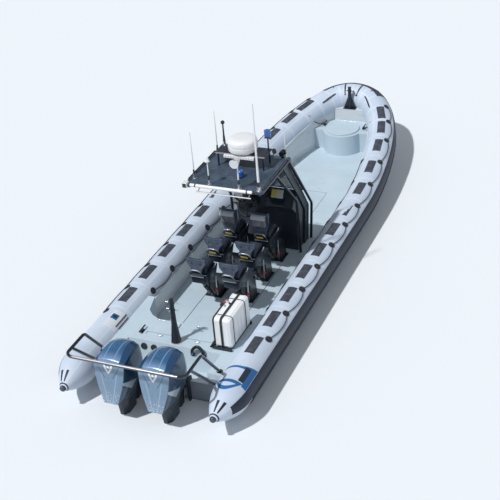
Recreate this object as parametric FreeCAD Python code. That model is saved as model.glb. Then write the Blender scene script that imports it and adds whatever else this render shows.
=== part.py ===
import FreeCAD
import Part
import math
import os

# Rigid-hulled inflatable boat with twin outboard motors, T-top console, six jockey seats and a life raft.
# Frame: origin on the centreline at the waterline amidships, +X to the bow, +Y to port, +Z up. Millimetres.

os.makedirs("parts", exist_ok=True)

V = FreeCAD.Vector
GAP = 0.3                  # clearance between faces of different moving bodies

# Driving sizes of the hull and collar
TUBE_R = 278.0             # inflatable tube radius
TUBE_Y = 1250.0            # tube centre off the centreline along the straight run
TUBE_Z = 400.0             # tube centre above the water along the straight run
TRANSOM_X = -4400.0        # aft face of the transom
TUBE_OVERHANG = 200.0      # how far the straight tubes run past the transom
CONE_BASE_X = TRANSOM_X - TUBE_OVERHANG
CONE_LENGTH = 590.0
CONE_TIP_R = 78.0
TRANSOM_T = 70.0
TRANSOM_TOP_Z = 330.0      # engine mounting height
WELL_HALF_W = 780.0        # half width of the engine cut-out in the transom
SOLE_Z = 100.0             # top of the cockpit sole
SOLE_T = 20.0
WALL_T = 28.0              # inner hull wall beside the tube
WALL_RISE = 40.0           # top of the inner wall above the tube centre
DECK_Z = 540.0             # aft deck
WELL_L = 495.0             # splash well between the transom and the aft deck
AFT_DECK_L = 585.0
AFT_DECK_REAR_X = TRANSOM_X + WELL_L
AFT_DECK_FRONT_X = AFT_DECK_REAR_X + AFT_DECK_L
WELL_FLOOR_Z = 180.0
LOCKER_Z = 520.0           # bow locker top
LOCKER_X = 4000.0          # aft face of the bow locker
LOCKER_L = 520.0
RECESS_END_X = LOCKER_X + LOCKER_L
LOCKER_FLOOR_Z = 300.0     # hull moulding under the bow locker
BOW_PAD_Z = 770.0          # pad in the bow that the post stands on
LID_GAP = 5.0              # seal height under each lid

# Tube centreline from the end of the straight run round to the bow centre: x, y, z
TUBE_BOW = [
    (1000.0, 1250.0, 400.0),
    (1800.0, 1228.0, 430.0),
    (2640.0, 1150.0, 492.0),
    (3380.0, 1035.0, 566.0),
    (3960.0, 885.0, 645.0),
    (4400.0, 705.0, 725.0),
    (4710.0, 510.0, 800.0),
    (4880.0, 290.0, 865.0),
    (4935.0, 0.0, 900.0),
]
BOW_X = TUBE_BOW[-1][0]
STEM_SETBACK = 35.0        # the hull's last station behind the tube centre at the bow

# Hull bottom: x, keel_z, chine_y, chine_z
HULL_STATIONS = [
    (TRANSOM_X, -480.0, 960.0, -92.0),
    (-2000.0, -500.0, 985.0, -95.0),
    (1000.0, -500.0, 985.0, -80.0),
    (1800.0, -490.0, 965.0, -60.0),
    (2640.0, -465.0, 905.0, -20.0),
    (3380.0, -405.0, 800.0, 30.0),
    (3960.0, -300.0, 690.0, 70.0),
    (4400.0, -140.0, 520.0, 190.0),
    (4710.0, 60.0, 340.0, 330.0),
    (BOW_X - STEM_SETBACK, 300.0, 160.0, 500.0),
]
STRAKES = [0.36, 0.70]     # spray rails, as fractions of the way from keel to chine


def box(x0, x1, y0, y1, z0, z1):
    return Part.makeBox(x1 - x0, y1 - y0, z1 - z0, V(x0, y0, z0))


def rod(p, q, r):
    p, q = V(*p), V(*q)
    return Part.makeCylinder(r, (q - p).Length, p, q - p)


def taper(p, q, r0, r1):
    p, q = V(*p), V(*q)
    return Part.makeCone(r0, r1, (q - p).Length, p, q - p)


def prism_xz(points, y0, y1):
    wire = Part.makePolygon([V(x, y0, z) for x, z in points + points[:1]])
    return Part.Face(wire).extrude(V(0, y1 - y0, 0))


def prism_xy(points, z0, z1):
    wire = Part.makePolygon([V(x, y, z0) for x, y in points + points[:1]])
    return Part.Face(wire).extrude(V(0, 0, z1 - z0))


def prism_yz(points, x0, x1):
    wire = Part.makePolygon([V(x0, y, z) for y, z in points + points[:1]])
    return Part.Face(wire).extrude(V(x1 - x0, 0, 0))


def mirrored(shape):
    return shape.mirror(V(0, 0, 0), V(0, 1, 0))


def moved(shape, x=0.0, y=0.0, z=0.0):
    copy = shape.copy()
    copy.translate(V(x, y, z))
    return copy


def fused(shapes):
    first, rest = shapes[0], shapes[1:]
    return first.fuse(rest).removeSplitter() if rest else first


def soft_box(x0, x1, y0, y1, z0, z1, r):
    solid = box(x0, x1, y0, y1, z0, z1)
    return solid.makeFillet(r, solid.Edges)


def rounded_wire(points, r):
    """Closed wire through 3-D corner points, with each corner an arc of radius r."""
    corners = [V(*p) for p in points]
    count = len(corners)
    joints = []
    for i in range(count):
        prev, here, nxt = corners[i - 1], corners[i], corners[(i + 1) % count]
        a, b = (prev - here).normalize(), (nxt - here).normalize()
        half = a.getAngle(b) / 2
        reach = r / math.tan(half)
        reach = min(reach, 0.45 * (prev - here).Length, 0.45 * (nxt - here).Length)
        radius = reach * math.tan(half)
        middle = (a + b).normalize()
        centre = here + middle * (radius / math.sin(half))
        joints.append((here + a * reach, centre - middle * radius, here + b * reach))
    edges = []
    for i in range(count):
        start, mid, end = joints[i]
        edges.append(Part.Arc(start, mid, end).toShape())
        edges.append(Part.LineSegment(end, joints[(i + 1) % count][0]).toShape())
    return Part.Wire(edges)


def loft(wires):
    return Part.makeLoft(wires, True, True)


def bent_rod(points, r, bend):
    """Round bar along straight runs joined by tangent arcs of radius bend."""
    corners = [V(*p) for p in points]
    edges = []
    start = corners[0]
    for i in range(1, len(corners) - 1):
        a = (corners[i - 1] - corners[i]).normalize()
        b = (corners[i + 1] - corners[i]).normalize()
        half = a.getAngle(b) / 2
        reach = bend / math.tan(half)
        middle = (a + b).normalize()
        tip = corners[i] + middle * (bend / math.sin(half) - bend)
        first, last = corners[i] + a * reach, corners[i] + b * reach
        edges.append(Part.LineSegment(start, first).toShape())
        edges.append(Part.Arc(first, tip, last).toShape())
        start = last
    edges.append(Part.LineSegment(start, corners[-1]).toShape())
    path = Part.Wire(edges)
    along = (corners[1] - corners[0]).normalize()
    ring = Part.Wire([Part.makeCircle(r, corners[0], along)])
    return path.makePipeShell([ring], True, False)


def mitre_cut(solid, at, normal):
    """Keep the half of the solid that lies behind the plane through at."""
    side = 2400.0
    block = Part.makeBox(side, side, side, V(-side / 2, -side / 2, 0))
    block.Placement = FreeCAD.Placement(at, FreeCAD.Rotation(V(0, 0, 1), normal))
    return solid.cut(block)


def collar_run(profile, path):
    """Straight lengths of a profile, one per panel, mitred where they meet."""
    nodes = [V(*p) for p in path]
    steps = [(b - a).normalize() for a, b in zip(nodes, nodes[1:])]
    panels = []
    for i, (a, b) in enumerate(zip(nodes, nodes[1:])):
        reach = 160.0
        panel = profile(a - steps[i] * reach, steps[i], (b - a).Length + 2 * reach)
        first = steps[i] if i == 0 else (steps[i] + steps[i - 1]).normalize()
        last = steps[i] if i == len(steps) - 1 else (steps[i] + steps[i + 1]).normalize()
        if i == len(steps) - 1:
            last = V(0, -1, 0)
        panel = mitre_cut(panel, b, last)
        panel = mitre_cut(panel, a, first * -1)
        panels.append(panel)
    return panels


def tube_profile(r):
    def make(start, along, length):
        return Part.makeCylinder(r, length, start, along)
    return make


def band_profile(r0, r1, low, high):
    """Curved strip on the outboard side between two angles below and above level."""
    def make(start, along, length):
        out = along.cross(V(0, 0, 1)).normalize() * -1
        up = out.cross(along).normalize() * -1
        if up.z < 0:
            up = up * -1
        if out.y < 0 and abs(out.y) > abs(out.x):
            out = out * -1

        def at(radius, degrees):
            t = math.radians(degrees)
            return start + out * (radius * math.cos(t)) + up * (radius * math.sin(t))
        middle = (low + high) / 2
        edges = [
            Part.Arc(at(r1, low), at(r1, middle), at(r1, high)).toShape(),
            Part.LineSegment(at(r1, high), at(r0, high)).toShape(),
            Part.Arc(at(r0, high), at(r0, middle), at(r0, low)).toShape(),
            Part.LineSegment(at(r0, low), at(r1, low)).toShape(),
        ]
        return Part.Face(Part.Wire(edges)).extrude(along * length)
    return make


NODES = {}


def node(name, *solids):
    parts = []
    for solid in solids:
        parts.extend(solid.Solids)
    NODES[name] = parts


# Collar: two inflated tubes that meet at the bow, with a cone at each aft end
collar_path = [(CONE_BASE_X, TUBE_Y, TUBE_Z)] + TUBE_BOW
tube_panels = collar_run(tube_profile(TUBE_R), collar_path)
tube_body = fused(tube_panels)
cone = taper((CONE_BASE_X, TUBE_Y, TUBE_Z), (CONE_BASE_X - CONE_LENGTH, TUBE_Y, TUBE_Z), TUBE_R, CONE_TIP_R)
tube_port = tube_body.fuse(cone).removeSplitter()
tube_starboard = mirrored(tube_port)
node("tube_port", tube_port)
node("tube_starboard", tube_starboard)

# Moulded end cap closing each cone
CAP_L = 45.0
cone_end_x = CONE_BASE_X - CONE_LENGTH
cap = Part.makeCone(CONE_TIP_R, CONE_TIP_R - 26.0, CAP_L, V(cone_end_x, TUBE_Y, TUBE_Z), V(-1, 0, 0))
node("cone_end_caps", cap, mirrored(cap))


# Rigid hull: deep vee with chines, cut back where the collar is bonded on
def collar_at(x):
    points = [(CONE_BASE_X, TUBE_Y, TUBE_Z)] + TUBE_BOW
    if x <= CONE_BASE_X:
        return TUBE_Y, TUBE_Z
    for (x0, y0, z0), (x1, y1, z1) in zip(points, points[1:]):
        if x0 <= x <= x1:
            t = (x - x0) / (x1 - x0)
            return y0 + t * (y1 - y0), z0 + t * (z1 - z0)
    return points[-1][1], points[-1][2]


def hull_section(x, keel_z, chine_y, chine_z):
    ty, tz = collar_at(x)
    seat_y, seat_z = ty - 0.5 * TUBE_R, tz - 0.8 * TUBE_R
    top = tz + WALL_RISE
    half = [(chine_y, chine_z), (seat_y, seat_z), (seat_y, top)]
    ring = [(0.0, keel_z)] + half + [(-y, z) for y, z in reversed(half)]
    return Part.makePolygon([V(x, y, z) for y, z in ring + ring[:1]])


hull_block = loft([hull_section(*row) for row in HULL_STATIONS])


def inner_edge(x):
    """Half width of the cockpit: just inside the tube and the hull wall."""
    return collar_at(x)[0] - TUBE_R - WALL_T + 6.0


def recess_outline(x0, x1, inset=0.0):
    stations = [x0] + [row[0] for row in TUBE_BOW if x0 < row[0] < x1] + [x1]
    side = [(x, inner_edge(x) - inset) for x in stations]
    return side + [(x, -y) for x, y in reversed(side)]


HIGH = 1400.0
recess = prism_xy(recess_outline(TRANSOM_X + TRANSOM_T, LOCKER_X), SOLE_Z - SOLE_T, HIGH)
locker_recess = prism_xy(recess_outline(LOCKER_X, RECESS_END_X), LOCKER_FLOOR_Z, HIGH)
above_pad = box(RECESS_END_X, 5400.0, -900.0, 900.0, BOW_PAD_Z, HIGH)
engine_cut = box(TRANSOM_X - 5, TRANSOM_X + TRANSOM_T + 5, -WELL_HALF_W, WELL_HALF_W, TRANSOM_TOP_Z, HIGH)
hull = hull_block.cut([recess, locker_recess, above_pad, engine_cut, tube_port, tube_starboard])


def strake(share):
    """Spray rail: a triangular strip along the bottom at one share of its width."""
    wires = []
    for x, keel_z, chine_y, chine_z in HULL_STATIONS[:-3]:
        y = share * chine_y
        z = keel_z + share * (chine_z - keel_z)
        rise = (chine_z - keel_z) / chine_y
        corners = [(y - 70, z - 70 * rise + 4), (y, z - 34), (y + 8, z + 8 * rise + 4)]
        wires.append(Part.makePolygon([V(x, a, b) for a, b in corners + corners[:1]]))
    return loft(wires)


spray = [strake(share) for share in STRAKES]
hull = hull.fuse(spray + [mirrored(one) for one in spray])
node("hull", hull)

# Cockpit sole inside the hull, from the aft deck to the bow locker
sole = prism_xy(recess_outline(TRANSOM_X + TRANSOM_T, LOCKER_X), SOLE_Z - SOLE_T, SOLE_Z)
node("cockpit_sole", sole)

# Aft deck moulding: lockers ahead of the splash well, side shelves, and a corner deck each side of the engines
WELL_SLOPE = 70.0          # how far the well's forward wall leans
SHELF_FRONT = [            # forward edge from the centreline to the side shelf: distance ahead of the edge, half width
    (0.0, 550.0),
    (80.0, 700.0),
    (200.0, 810.0),
    (560.0, 900.0),
    (560.0, 1060.0),
]
deck_front = [(AFT_DECK_FRONT_X + ahead, y) for ahead, y in SHELF_FRONT]
deck_side = deck_front + [(TRANSOM_X, 1060.0)]
aft_deck = prism_xy(deck_side + [(x, -y) for x, y in reversed(deck_side)], SOLE_Z, DECK_Z)
well_profile = [(AFT_DECK_REAR_X, DECK_Z), (AFT_DECK_REAR_X - WELL_SLOPE, WELL_FLOOR_Z),
                (TRANSOM_X + TRANSOM_T, WELL_FLOOR_Z), (TRANSOM_X + TRANSOM_T, TRANSOM_TOP_Z),
                (TRANSOM_X - 5, TRANSOM_TOP_Z), (TRANSOM_X - 5, DECK_Z)]
aft_deck = aft_deck.cut(prism_xz(well_profile, -WELL_HALF_W, WELL_HALF_W))
aft_deck = aft_deck.cut([tube_port, tube_starboard, hull])
aft_deck = aft_deck.cut(box(TRANSOM_X - 5, TRANSOM_X + TRANSOM_T, -1100, 1100, -600, TRANSOM_TOP_Z))
aft_deck = max(aft_deck.Solids, key=lambda s: s.Volume)
node("aft_deck", aft_deck)

# Round vents on the forward wall of the splash well
VENT_R = 54.0
VENT_Z = 440.0
VENT_YS = (510.0, 340.0)
wall_normal = V(-(DECK_Z - WELL_FLOOR_Z), 0, WELL_SLOPE).normalize()
vents = []
for y in VENT_YS:
    x = AFT_DECK_REAR_X - WELL_SLOPE * (DECK_Z - VENT_Z) / (DECK_Z - WELL_FLOOR_Z)
    vents.append(Part.makeCylinder(VENT_R, 14.0, V(x, y, VENT_Z), wall_normal))
node("well_vents", *vents)

# Bow locker: raised block with a drum-shaped aft face, and its round lid
DRUM_X = LOCKER_X + 110.0
DRUM_R = 410.0
LOCKER_SKIRT = 26.0
locker = prism_xy(recess_outline(LOCKER_X, RECESS_END_X), LOCKER_FLOOR_Z, LOCKER_Z)
locker = locker.fuse(prism_xy(recess_outline(LOCKER_X - LOCKER_SKIRT, LOCKER_X), SOLE_Z, LOCKER_Z))
drum = Part.makeCylinder(DRUM_R, LOCKER_Z - SOLE_Z, V(DRUM_X, 0, SOLE_Z))
locker = locker.fuse(drum)
node("bow_locker", locker.cut([tube_port, tube_starboard, hull]).removeSplitter())

# Hinged lids: the round one on the bow locker and two on the aft deck, each hung on its forward edge
LID_R = 338.0
LID_T = 22.0
HATCH_T = 18.0
KNUCKLE_R = 9.0
KNUCKLE_L = 56.0
PIN_R = 4.0
HATCH_X0 = AFT_DECK_FRONT_X - 370.0
HATCH_X1 = AFT_DECK_FRONT_X - 50.0
HATCH_Y0 = 130.0
HATCH_Y1 = 550.0


def hinge(axis_x, axis_z, y, reach, base_z):
    """Lid knuckle with its tab, and the fixed pin between two knuckles on the deck, at one place along y."""
    half = KNUCKLE_L / 2
    knuckle = rod((axis_x, y - half, axis_z), (axis_x, y + half, axis_z), KNUCKLE_R)
    tab = box(axis_x - reach, axis_x, y - half, y + half, axis_z - 3, axis_z + 3)
    bore = rod((axis_x, y - KNUCKLE_L, axis_z), (axis_x, y + KNUCKLE_L, axis_z), PIN_R + GAP)
    fixed = [rod((axis_x, y - half - 22, axis_z), (axis_x, y + half + 22, axis_z), PIN_R)]
    for y0 in (y - half - 22, y + half + 2):
        fixed.append(rod((axis_x, y0, axis_z), (axis_x, y0 + 20, axis_z), KNUCKLE_R))
        fixed.append(box(axis_x - KNUCKLE_R, axis_x + KNUCKLE_R, y0, y0 + 20, base_z, axis_z))
    return knuckle.fuse(tab), bore, fused(fixed)


def hinged_lid(panel, axis_x, axis_z, ys, reach, base_z):
    """The lid with its knuckles, and its fixed hinge halves."""
    fixed_halves = []
    for y in ys:
        knuckle, bore, fixed = hinge(axis_x, axis_z, y, reach, base_z)
        panel = panel.fuse(knuckle).cut(bore)
        fixed_halves.append(fixed)
    return panel.removeSplitter(), fixed_halves


round_lid = Part.makeCylinder(LID_R, LID_T, V(DRUM_X, 0, LOCKER_Z + LID_GAP))
round_lid = round_lid.makeFillet(8.0, [round_lid.Edges[0]])
lid_axis_z = LOCKER_Z + LID_GAP + KNUCKLE_R
lid, hinges = hinged_lid(round_lid, DRUM_X + LID_R + 12, lid_axis_z, (-110.0, 110.0), 52.0, LOCKER_Z)
node("bow_locker_lid", lid)
for side, sign in (("port", 1), ("starboard", -1)):
    y0, y1 = sorted((sign * HATCH_Y0, sign * HATCH_Y1))
    panel = soft_box(HATCH_X0, HATCH_X1, y0, y1, DECK_Z + LID_GAP, DECK_Z + LID_GAP + HATCH_T, 5.0)
    middle = (y0 + y1) / 2
    hatch, fixed = hinged_lid(panel, HATCH_X1 + 12, DECK_Z + LID_GAP + KNUCKLE_R, (middle - 130, middle + 130),
                              24.0, DECK_Z)
    node("deck_hatch_" + side, hatch)
    hinges += fixed
node("lid_hinges", *hinges)

# Rubbing strake along the outboard lower side of each tube
STRAKE_T = 24.0
STRAKE_LOW = -62.0
STRAKE_HIGH = -12.0
STRAKE_START_X = CONE_BASE_X + 120.0
strake_path = [(STRAKE_START_X, TUBE_Y, TUBE_Z)] + TUBE_BOW
bands = collar_run(band_profile(TUBE_R, TUBE_R + STRAKE_T, STRAKE_LOW, STRAKE_HIGH), strake_path)
band_port = fused(bands)
node("rubbing_strakes", band_port, mirrored(band_port))

# Dark tread patches bonded on the tube tops
PATCH_PITCH = 716.5
PATCH_L = 420.0
PATCH_W = 150.0
PATCH_T = 6.0
PATCH_FIRST_X = -3000.0
patch_half = math.degrees(PATCH_W / 2 / TUBE_R)


def patch(x, y, z, along):
    start = V(x, y, z) - along * (PATCH_L / 2)
    return band_profile(TUBE_R + GAP, TUBE_R + PATCH_T, 90 - patch_half, 90 + patch_half)(start, along, PATCH_L)


patches = []
straight = [PATCH_FIRST_X + i * PATCH_PITCH for i in range(-1, 20)]
straight = [x for x in straight if x + PATCH_L / 2 < TUBE_BOW[0][0]]
for x in straight:
    one = patch(x, TUBE_Y, TUBE_Z, V(1, 0, 0))
    patches.append(mirrored(one))
    if x > straight[0]:
        patches.append(one)
for (x0, y0, z0), (x1, y1, z1) in zip(TUBE_BOW[:5], TUBE_BOW[1:6]):
    along = (V(x1, y1, z1) - V(x0, y0, z0)).normalize()
    one = patch((x0 + x1) / 2, (y0 + y1) / 2, (z0 + z1) / 2, along)
    patches += [one, mirrored(one)]
node("tread_patches", *patches)

# Oval pads that hold the lifelines: one row outboard near the top of each tube, one row low on the inboard side
PAD_R = 58.0
PAD_T = 14.0
PAD_OUTER = (60.0, 245.0)  # angle above level, distance ahead of the patch
PAD_INNER = (150.0, 405.0)
PAD_BOW_SHARE = 0.78       # place along each bow panel


def pad(x, y, z, along, degrees):
    out = along.cross(V(0, 0, 1)).normalize() * -1
    t = math.radians(degrees)
    way = out * math.cos(t) + out.cross(along).normalize() * -math.sin(t)
    if way.z < 0:
        way = out * math.cos(t) + out.cross(along).normalize() * math.sin(t)
    disc = Part.makeCylinder(PAD_R, PAD_T + 6.0, V(x, y, z) + way * (TUBE_R - 6.0), way)
    return disc.cut(Part.makeCylinder(TUBE_R + GAP, 400.0, V(x, y, z) - along * 200, along))


pads = []
for x in straight:
    for degrees, ahead in (PAD_OUTER, PAD_INNER):
        if degrees > 90 and x + ahead < AFT_DECK_FRONT_X + SHELF_FRONT[-1][0] + PAD_R:
            continue
        one = pad(x + ahead, TUBE_Y, TUBE_Z, V(1, 0, 0), degrees)
        if x + ahead + PAD_R > TUBE_BOW[0][0]:
            one = one.cut(tube_port)
        pads += [one, mirrored(one)]
for (x0, y0, z0), (x1, y1, z1) in zip(TUBE_BOW[:5], TUBE_BOW[1:6]):
    along = (V(x1, y1, z1) - V(x0, y0, z0)).normalize()
    for degrees in (PAD_OUTER[0], PAD_INNER[0]):
        if degrees > 90 and x1 > LOCKER_X:
            continue
        share = PAD_BOW_SHARE
        one = pad(x0 + share * (x1 - x0), y0 + share * (y1 - y0), z0 + share * (z1 - z0), along, degrees)
        pads += [one, mirrored(one)]
node("lifeline_pads", *pads)

# Dark anti-chafe cover bonded round the front of the bow
COVER_LOW = -8.0
COVER_HIGH = 74.0
COVER_T = 8.0
cover = fused(collar_run(band_profile(TUBE_R + GAP, TUBE_R + COVER_T, COVER_LOW, COVER_HIGH), TUBE_BOW[6:]))
node("bow_chafe_cover", fused([cover, mirrored(cover)]))

# Aft tow post: a flared post on a round foot with four gussets, and two pairs of horns that a line is dropped on
POST_X = AFT_DECK_REAR_X + 90.0
POST_H = 780.0
POST_FOOT_R = 84.0
HORN_RISE = 6.0            # degrees that each horn points up
HORN_R = 11.0
HORN_COLLAR = (17.0, 42.0)  # radius, reach from the post's axis
HORN_END = 96.0
foot_top = DECK_Z + 14.0
foot = Part.makeCylinder(POST_FOOT_R, foot_top - DECK_Z, V(POST_X, 0, DECK_Z))
skirt = taper((POST_X, 0, foot_top), (POST_X, 0, foot_top + 190), 72.0, 46.0)
shaft = taper((POST_X, 0, foot_top + 190), (POST_X, 0, DECK_Z + POST_H), 46.0, 32.0)
post_parts = [foot, skirt, shaft]
for turn in range(4):
    gusset = prism_xz([(0, foot_top), (POST_FOOT_R - 4, foot_top), (44.0, foot_top + 320), (0, foot_top + 320)], -5, 5)
    gusset.rotate(V(0, 0, 0), V(0, 0, 1), 45.0 + 90.0 * turn)
    post_parts.append(moved(gusset, x=POST_X))
rise = math.radians(HORN_RISE)
for z in (DECK_Z + POST_H - 70, DECK_Z + POST_H - 190):
    for sign in (1, -1):
        way = V(0, sign * math.cos(rise), math.sin(rise))
        root = V(POST_X, 0, z)
        post_parts.append(Part.makeCylinder(HORN_COLLAR[0], HORN_COLLAR[1], root, way))
        post_parts.append(Part.makeCylinder(HORN_R, HORN_END - 20, root + way * 20, way))
node("tow_post", fused(post_parts))

# Bow post on the bow pad, with spread gussets and a cross pin
BOW_POST_SETBACK = 330.0   # behind the tube centre at the bow
BOW_POST_X = BOW_X - BOW_POST_SETBACK
BOW_POST_TOP_Z = 1235.0
BOW_FOOT = 72.0
bow_base = BOW_PAD_Z + 14
bow_foot = box(BOW_POST_X - BOW_FOOT, BOW_POST_X + BOW_FOOT - 12, -130, 130, BOW_PAD_Z, bow_base)
bow_shaft = taper((BOW_POST_X, 0, bow_base), (BOW_POST_X, 0, BOW_POST_TOP_Z), 44.0, 34.0)
bow_gusset = prism_yz([(-125, bow_base), (125, bow_base), (30, bow_base + 260), (-30, bow_base + 260)],
                      BOW_POST_X - 6, BOW_POST_X + 6)
bow_pin = rod((BOW_POST_X, -100, BOW_POST_TOP_Z - 80), (BOW_POST_X, 100, BOW_POST_TOP_Z - 80), 11.0)
bow_post = fused([bow_foot, bow_shaft, bow_gusset, bow_pin])
node("bow_post", bow_post.cut([tube_port, tube_starboard]))


# Mooring cleats: a base, two horns
def cleat(x, y, z):
    base = box(x - 50, x + 50, y - 22, y + 22, z, z + 10)
    stem = box(x - 26, x + 26, y - 10, y + 10, z + 10, z + 44)
    bar = rod((x - 100, y, z + 52), (x + 100, y, z + 52), 12.0)
    return fused([base, stem, bar])


CLEATS = [  # x, y, deck height
    (AFT_DECK_REAR_X + 205.0, 640.0, DECK_Z),
    (AFT_DECK_REAR_X + 160.0, -590.0, DECK_Z),
    (LOCKER_X + 215.0, 420.0, LOCKER_Z),
    (LOCKER_X + 215.0, -420.0, LOCKER_Z),
]
node("mooring_cleats", *[cleat(*row) for row in CLEATS])

# Console: a pod with a raked face, dash and footwell
CONSOLE_W = 560.0
console_profile = [(-60.0, SOLE_Z), (450.0, SOLE_Z), (505.0, 740.0), (215.0, 1160.0), (-120.0, 1160.0),
                   (-230.0, 1020.0), (-70.0, 860.0)]
console = prism_xz(console_profile, -CONSOLE_W, CONSOLE_W)
node("console", console)

# T-top: a side frame each side, raked with the windscreen, and a roof panel
FRAME_Y = 620.0
FRAME_R = 24.0
ROOF_Z = 2080.0
ROOF_T = 36.0
ROOF_X0 = -1720.0
ROOF_X1 = -400.0
ROOF_HALF_W = 680.0
RUNNER_Z = ROOF_Z - 30     # roof runners just under the panel
LEG_KNEE = (540.0, 760.0)  # bend of the front leg: x, z
LEG_HEAD_X = -410.0
frames = []
for side in (1, -1):
    y = side * FRAME_Y
    front = bent_rod([(430, y, SOLE_Z), (LEG_KNEE[0], y, LEG_KNEE[1]), (LEG_HEAD_X, y, RUNNER_Z)], FRAME_R, 120)
    back = bent_rod([(-110, y, SOLE_Z), (-160, y, 1150), (-980, y, RUNNER_Z)], FRAME_R, 160)
    runner = rod((ROOF_X0 + 40, y, RUNNER_Z), (LEG_HEAD_X, y, RUNNER_Z), FRAME_R)
    frames.append(fused([front, back, runner]))
crossbars = [rod((x, -FRAME_Y, RUNNER_Z), (x, FRAME_Y, RUNNER_Z), 20.0) for x in (-1600.0, -1040.0, -480.0)]
node("ttop_frame", fused(frames + crossbars).cut(box(-400, 800, -900, 900, SOLE_Z - 100, SOLE_Z)))
roof = box(ROOF_X0, ROOF_X1, -ROOF_HALF_W, ROOF_HALF_W, ROOF_Z - 6, ROOF_Z - 6 + ROOF_T)
roof = roof.makeFillet(60.0, [e for e in roof.Edges if abs(e.tangentAt(e.FirstParameter).z) > 0.9])
node("ttop_roof", roof)

# Windscreen leaning on the front legs
SCREEN_Z0 = 1170.0
SCREEN_Z1 = 1990.0
SCREEN_T = 12.0


def leg_x(z):
    share = (z - LEG_KNEE[1]) / (RUNNER_Z - LEG_KNEE[1])
    return LEG_KNEE[0] + share * (LEG_HEAD_X - LEG_KNEE[0])


screen_points = [(leg_x(SCREEN_Z0) - SCREEN_T, SCREEN_Z0), (leg_x(SCREEN_Z0), SCREEN_Z0),
                 (leg_x(SCREEN_Z1), SCREEN_Z1), (leg_x(SCREEN_Z1) - SCREEN_T, SCREEN_Z1)]
screen_half = FRAME_Y - FRAME_R
screen = prism_xz(screen_points, -screen_half, screen_half)
node("windscreen", screen)

# Side wing each side: a tall panel from the sole up behind the front leg, closing the console's side
WING_T = 22.0
WING_W = 190.0
WING_Y = CONSOLE_W + 4.0
wing_front = [(385.0, SOLE_Z), (490.0, 740.0), (leg_x(SCREEN_Z0 - 60) - 34, SCREEN_Z0 - 60),
              (leg_x(SCREEN_Z1) - 34, SCREEN_Z1)]
wing_profile = wing_front + [(x - WING_W, z) for x, z in reversed(wing_front)]
wing = prism_xz(wing_profile, WING_Y, WING_Y + WING_T)
node("console_wings", wing, mirrored(wing))

# Steering wheel on its boss
WHEEL_AT = (-310.0, 240.0, 1010.0)
WHEEL_AXIS = V(-math.cos(math.radians(25)), 0, math.sin(math.radians(25)))
WHEEL_R = 175.0


def wheel_point(reach):
    return V(*WHEEL_AT) + WHEEL_AXIS * reach


rim = Part.makeTorus(WHEEL_R, 15.0, wheel_point(0), WHEEL_AXIS)
hub = Part.makeCylinder(36.0, 50.0, wheel_point(-34), WHEEL_AXIS)
side_way = V(0, 1, 0)
up_way = WHEEL_AXIS.cross(side_way)
spokes = []
for turn in range(3):
    angle = math.radians(90 + 120 * turn)
    way = side_way * math.cos(angle) + up_way * math.sin(angle)
    spokes.append(Part.makeCylinder(9.0, WHEEL_R - 20, wheel_point(0) + way * 20, way))
node("steering_wheel", fused([rim, hub] + spokes))
helm_boss = Part.makeCylinder(30.0, 110.0, wheel_point(-34 - 110 - GAP), WHEEL_AXIS)
node("helm_boss", helm_boss.cut(console))

# Upper shelf with the radome
SHELF = (-990.0, -650.0, 440.0, 2360.0)   # x0, x1, half width, top
shelf_plate = box(SHELF[0], SHELF[1], -SHELF[2], SHELF[2], SHELF[3] - 24, SHELF[3])
shelf_legs = [rod((x, y, ROOF_Z - 6 + ROOF_T), (x, y, SHELF[3] - 24), 16.0)
              for x in (SHELF[0] + 30, SHELF[1] - 30) for y in (-SHELF[2] + 40, SHELF[2] - 40)]
node("ttop_shelf", fused([shelf_plate] + shelf_legs))
RADOME_R = 250.0
RADOME_H = 250.0
RADOME_SIDE = 110.0
cap_h = RADOME_H - RADOME_SIDE
cap_r = (RADOME_R ** 2 + cap_h ** 2) / (2 * cap_h)
skirt = Part.makeCone(RADOME_R - 50, RADOME_R, 60.0)
band = Part.makeCylinder(RADOME_R, RADOME_SIDE - 60, V(0, 0, 60))
ball = Part.makeSphere(cap_r, V(0, 0, RADOME_H - cap_r))
dome = ball.common(box(-400, 400, -400, 400, RADOME_SIDE, RADOME_H + 10))
radome = fused([skirt, band, dome])
node("radome", moved(radome, (SHELF[0] + SHELF[1]) / 2, 0.0, SHELF[3]))

# White light tube along the aft edge of the roof, on two brackets
TUBE_LAMP_R = 27.0
TUBE_LAMP_HALF = 560.0
TUBE_LAMP_Z = ROOF_Z + 60.0
BRACKET_Y = TUBE_LAMP_HALF - 110.0
bar_x = ROOF_X0 - 70.0
light_bar = rod((bar_x, -TUBE_LAMP_HALF, TUBE_LAMP_Z), (bar_x, TUBE_LAMP_HALF, TUBE_LAMP_Z), TUBE_LAMP_R)
bar_arms = [rod((ROOF_X0 + 20, y, ROOF_Z + 24), (bar_x, y, TUBE_LAMP_Z), 12.0) for y in (-BRACKET_Y, BRACKET_Y)]
node("light_bar", fused([light_bar] + bar_arms).cut(roof))

# Work light bar under the aft edge of the shelf
WORK_LAMP_HALF = 270.0
work_lamp = soft_box(SHELF[0] - 46, SHELF[0] - GAP, -WORK_LAMP_HALF, WORK_LAMP_HALF, SHELF[3] - 62, SHELF[3] - 14, 6.0)
node("work_lamp", work_lamp)

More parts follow.
